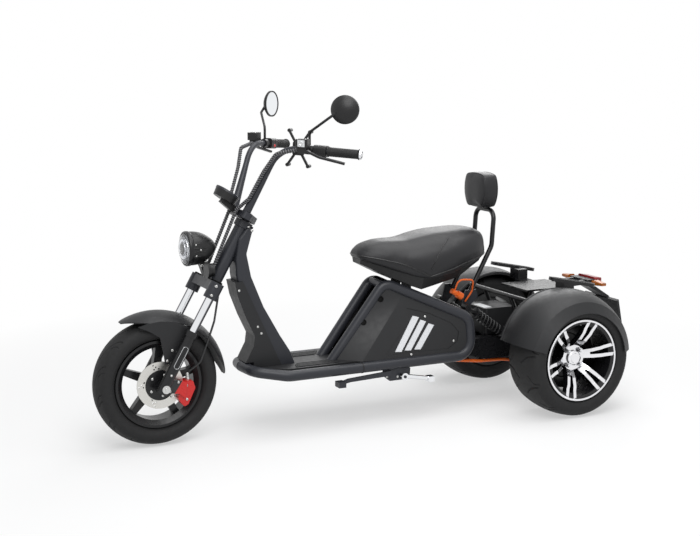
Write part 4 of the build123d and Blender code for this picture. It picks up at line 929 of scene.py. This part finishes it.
def wraps():
    """Spiral binding wound round the control hoses."""
    pitch, wound_r, strip_r, sides = 0.0095, 0.0066, 0.0016, 6
    for side, sign in SIDES:
        line, length = route_points([sided(p, sign) for p in rounded(CONTROL_ROUTE, CONTROL_BENDS)], 700)
        turns = int(length / pitch)
        helix, outs = [], []
        u = None
        for k, p in enumerate(line):
            d = heading(line, k)
            u = axes(d)[0] if u is None else (u - d * u.dot(d)).normalized()
            a = FULL_TURN * turns * k / (len(line) - 1)
            outs.append(u * math.cos(a) + d.cross(u) * math.sin(a))
            helix.append(p + outs[-1] * wound_r)
        verts = []
        for k, (p, n) in enumerate(zip(helix, outs)):
            b = heading(helix, k).cross(n)
            for j in range(sides):
                a = FULL_TURN * j / sides
                verts.append(p + (n * math.cos(a) + b * math.sin(a)) * strip_r)
        faces = bands(len(helix), sides) + lids(len(helix), sides)
        piece("hose_wrap_" + side, (verts, faces), "steering", "wrap_grey")


# headlamp, dial, grips, mirrors

# columns: along, radius
LAMP_RIM = ((-0.016, 0.0640), (-0.010, 0.0665), (0.000, 0.0668), (0.004, 0.0645), (0.0045, 0.0590), (0.0020, 0.0578),
            (-0.002, 0.0578))
LAMP_BOWL = ((0.0004, 0.0560), (0.0008, 0.0540), (0.0004, 0.040), (0.0005, 0.026), (0.0009, 0.024), (0.0009, 0.001))
LAMP_BULB = ((0.0008, 0.019), (0.006, 0.0185), (0.0105, 0.014), (0.0125, 0.007), (0.013, 0.001))
DIAL_RIM = ((-0.006, 0.0498), (0.0008, 0.0498), (0.0018, 0.0490), (0.0018, 0.0455), (0.0004, 0.0448))
DIAL_PLATE = ((-0.001, 0.0450), (0.0003, 0.0448))
DIAL_NEEDLE = ((-0.008, 0.0012), (0.036, 0.0004))
MIRROR_BEZEL = ((-0.004, 0.0508), (0.0012, 0.0508), (0.0024, 0.0496), (0.0024, 0.0478), (0.0010, 0.0470))
BAR_WEIGHT = ((0.0002, 0.0176), (0.0030, 0.0178), (0.0078, 0.0166), (0.0085, 0.0140), (0.0080, 0.0110),
              (0.0084, 0.0060), (0.0084, 0.0010))
SIGHT_GLASS = ((-0.001, 0.0092), (0.0022, 0.0088), (0.0022, 0.0066), (0.0014, 0.0062), (0.0016, 0.0010))
BUTTON = ((-0.004, 0.0065), (0.0025, 0.0060), (0.0038, 0.0048), (0.0038, 0.0005))
# columns: x from, x to, z from, z to
LAMP_RIBS = ((0.796, 0.768, 0.7665, 0.7655), (0.798, 0.744, 0.749, 0.7475), (0.798, 0.744, 0.735, 0.7345),
             (0.796, 0.766, 0.7155, 0.7180))


def headlamp():
    """Rim, reflector, bulb and the ribs along each side of the shell."""
    front = Vector((1, 0, 0))
    piece("lamp_rim", lathe(LAMP_RIM, LAMP, front, 96), "steering", "black_steel")
    crisp("lamp_reflector", capped(LAMP_BOWL, LAMP, front, 64), "steering", "reflector")
    for name, r, along in (("lamp_ring", 0.040, 0.003), ("lamp_bulb_ring", 0.023, 0.005)):
        rows = ((0.0008, r - 0.004), (along, r - 0.002), (along + 0.001, r), (along, r + 0.002), (0.0008, r + 0.003))
        piece(name, lathe(rows, LAMP, front, 64), "steering", "chrome")
    piece("lamp_bulb", capped(LAMP_BULB, LAMP, front, 48), "steering", "dial_face")
    for side, sign in SIDES:
        for row, (x0, x1, z0, z1) in enumerate(LAMP_RIBS):
            line = []
            for k in range(9):
                hit, normal = stuck("headlamp_shell", x0 + (x1 - x0) * k / 8, z0 + (z1 - z0) * k / 8, sign)
                line.append(hit - normal * 0.0004)
            cable("lamp_rib_%d_%s" % (row, side), line, 0.0024, "steering", "black_plastic")


def dial():
    """Dial glass rim, face, ticks and needle."""
    piece("dial_rim", lathe(DIAL_RIM, DIAL, DIAL_UP, 96), "steering", "frame_paint")
    piece("dial_plate", capped(DIAL_PLATE, DIAL, DIAL_UP, 96), "steering", "dial_face")
    u, w = axes(DIAL_UP)
    marks = []
    for k in range(25):
        a = math.radians(-120 + 10 * k)
        d = u * math.cos(a) + w * math.sin(a)
        long = 0.007 if k % 4 == 0 else 0.0038
        marks.append(capped(((0.0, 0.0006), (long, 0.0006)), DIAL + DIAL_UP * 0.0007 + d * (0.0425 - long), d, 4))
    marks.append(capped(DIAL_NEEDLE, DIAL + DIAL_UP * 0.0011, u * -0.5 + w * 0.86, 6))
    piece("dial_marks", merge(marks), "steering", "dial_ink")


def bezels():
    """Dark rings that hold the mirror glasses."""
    for side, sign in SIDES:
        bezel = lathe(MIRROR_BEZEL, sided(MIRROR, sign), sided(MIRROR_LOOK, sign), 96)
        piece("mirror_bezel_" + side, bezel, "steering", "black_plastic")


def grips():
    """Diamond-ribbed rubber sleeves and bright end weights."""
    count, segments = 120, 72
    for side, sign in SIDES:
        end = sided(BAR_END, sign)
        d = sided(BAR_DIR, sign)
        u, w = axes(d)
        verts = []
        for k in range(count + 1):
            along = -GRIP_LEN + 0.002 + (GRIP_LEN - 0.004) * k / count
            edge = min(1.0, k / 6, (count - k) / 6)
            flange = 0.0035 if k < 5 or k > count - 4 else 0.0
            for j in range(segments):
                a = FULL_TURN * j / segments
                cross = math.sin(9 * a + along * 620) * math.sin(9 * a - along * 620)
                r = GRIP_R + 0.0009 * max(0.0, cross + 0.2) * edge + flange * (1 - edge)
                verts.append(end + d * along + (u * math.cos(a) + w * math.sin(a)) * r)
        piece("grip_ribs_" + side, (verts, bands(count + 1, segments)), "steering", "rubber_grip")
        crisp("bar_weight_" + side, capped(BAR_WEIGHT, end, d, 36), "steering", "chrome")


def reservoirs():
    """Lid screws, sight glasses and buttons on the bar's controls, and a blank plate on the left reservoir."""
    top = PERCH_AT + LEVER_OUT * 0.040 + Vector((0, 0, 0.042))
    face = PERCH_AT + LEVER_OUT * 0.061 + Vector((0, 0, 0.027))
    box = SWITCH_AT + BAR_DIR * 0.024 - LEVER_OUT * 0.0205
    for side, sign in SIDES:
        screws = []
        for a in (-0.014, 0.014):
            for b in (-0.016, 0.016):
                spot = top + LEVER_OUT * a + BAR_DIR * b
                screws.append(bolt(sided((spot.x, spot.y, top.z), sign), (0, 0, 1), 0.003, 0.002))
        crisp("reservoir_screws_" + side, merge(screws), "steering", "zinc")
        if sign > 0:
            plate = slab(face, BAR_DIR * 0.0135, (0, 0, 0.0125), LEVER_OUT * 0.0010)
            crisp("reservoir_plate", plate, "steering", "pale_plate")
        glass = capped(SIGHT_GLASS, sided(face, sign), sided(LEVER_OUT, sign), 32)
        piece("sight_glass_" + side, glass, "steering", "silver_paint")
        for name, shift, up in (("high", -0.010, 0.008), ("middle", 0.010, 0.008), ("low", 0.0, -0.009)):
            spot = box + BAR_DIR * shift + Vector((0, 0, up))
            red = sign < 0 and name == "low"
            button = capped(BUTTON, sided(spot, sign), sided(-LEVER_OUT, sign), 20)
            crisp("switch_button_" + name + "_" + side, button, "steering",
                  "red_button" if red else "black_plastic")


# stage

# columns: name, place, size, watts
LAMPS = (
    ("key", (1.2, 2.6, 3.4), 2.6, 95),
    ("top", (-0.6, 0.3, 3.6), 2.8, 75),
    ("rim", (-2.2, -2.6, 2.4), 2.0, 40),
)
LAMPS_AIM = Vector((0, 0, 0.5))
CAMERA_AT = (2.3275, 4.4949, 1.4468)
CAMERA_TURN = math.radians(26.2333)
CAMERA_DROP = math.radians(9.4047)
CAMERA_LENS = 64.806
CAMERA_SENSOR = 36.0
FLOOR_HALF = 14.0
WHITE = (1, 1, 1, 1)


def any_ray(tree):
    """1 for camera, glossy and transmission rays."""
    path = add(tree, "LightPath", {})
    total = path.outputs["Is Camera Ray"]
    for name in ("Is Glossy Ray", "Is Transmission Ray"):
        total = add(tree, "Math", {0: total, 1: path.outputs[name]}, operation="MAXIMUM").outputs["Value"]
    return total


def blended(tree, kind, share, first, second):
    """Show a mix of two shaders through a material's or a world's output."""
    mix = add(tree, "MixShader", {"Fac": share, 1: first, 2: second})
    add(tree, kind, {"Surface": mix.outputs["Shader"]})


def floor():
    """A pale floor that keeps the shadow and fades into the white background."""
    far = FLOOR_HALF
    mesh = bpy.data.meshes.new("floor")
    mesh.from_pydata([(-far, -far, 0), (far, -far, 0), (far, far, 0), (-far, far, 0)], [], [(0, 1, 2, 3)])
    made = bpy.data.objects.new("floor", mesh)
    bpy.context.scene.collection.objects.link(made)
    look = bpy.data.materials.new("floor_white")
    look.use_nodes = True
    tree = look.node_tree
    tree.nodes.clear()
    reach = add(tree, "VectorMath", {0: add(tree, "TexCoord", {}).outputs["Object"]}, operation="LENGTH")
    fade = add(tree, "MapRange", {"From Min": 1.1, "From Max": 2.6, "To Min": 0.50, "To Max": 1.0,
                                  "Value": reach.outputs["Value"]})
    share = add(tree, "Math", {0: any_ray(tree), 1: fade.outputs["Result"]}, operation="MULTIPLY")
    blended(tree, "OutputMaterial", share.outputs["Value"],
            add(tree, "BsdfDiffuse", {"Color": (0.86, 0.86, 0.86, 1)}).outputs["BSDF"],
            add(tree, "Emission", {"Color": WHITE}).outputs["Emission"])
    mesh.materials.append(look)


def sky():
    """Soft pale light, seen as plain white."""
    world = bpy.data.worlds.new("studio")
    bpy.context.scene.world = world
    world.use_nodes = True
    tree = world.node_tree
    tree.nodes.clear()
    blended(tree, "OutputWorld", any_ray(tree),
            add(tree, "Background", {"Color": (0.96, 0.98, 1.0, 1), "Strength": 0.34}).outputs["Background"],
            add(tree, "Background", {"Color": WHITE, "Strength": 1.0}).outputs["Background"])


def aimed(name, data, place, direction):
    """A lamp or camera that looks along a direction."""
    made = bpy.data.objects.new(name, data)
    made.location = place
    made.rotation_mode = "QUATERNION"
    made.rotation_quaternion = direction.to_track_quat("-Z", "Y")
    bpy.context.scene.collection.objects.link(made)
    return made


def studio():
    """Soft boxes and the camera."""
    for name, place, size, watts in LAMPS:
        data = bpy.data.lights.new(name, "AREA")
        data.size = size
        data.energy = watts
        aimed(name, data, place, LAMPS_AIM - Vector(place))
    data = bpy.data.cameras.new("camera")
    data.lens = CAMERA_LENS
    data.sensor_width = CAMERA_SENSOR
    level = math.cos(CAMERA_DROP)
    look = Vector((-math.sin(CAMERA_TURN) * level, -math.cos(CAMERA_TURN) * level, -math.sin(CAMERA_DROP)))
    bpy.context.scene.camera = aimed("camera", data, CAMERA_AT, look)
    bpy.context.scene.view_settings.view_transform = "Standard"


dress_nodes()
tyres()
wheel_trim()
springs()
seat()
backrest()
fittings()
wraps()
headlamp()
dial()
bezels()
grips()
reservoirs()
floor()
sky()
studio()
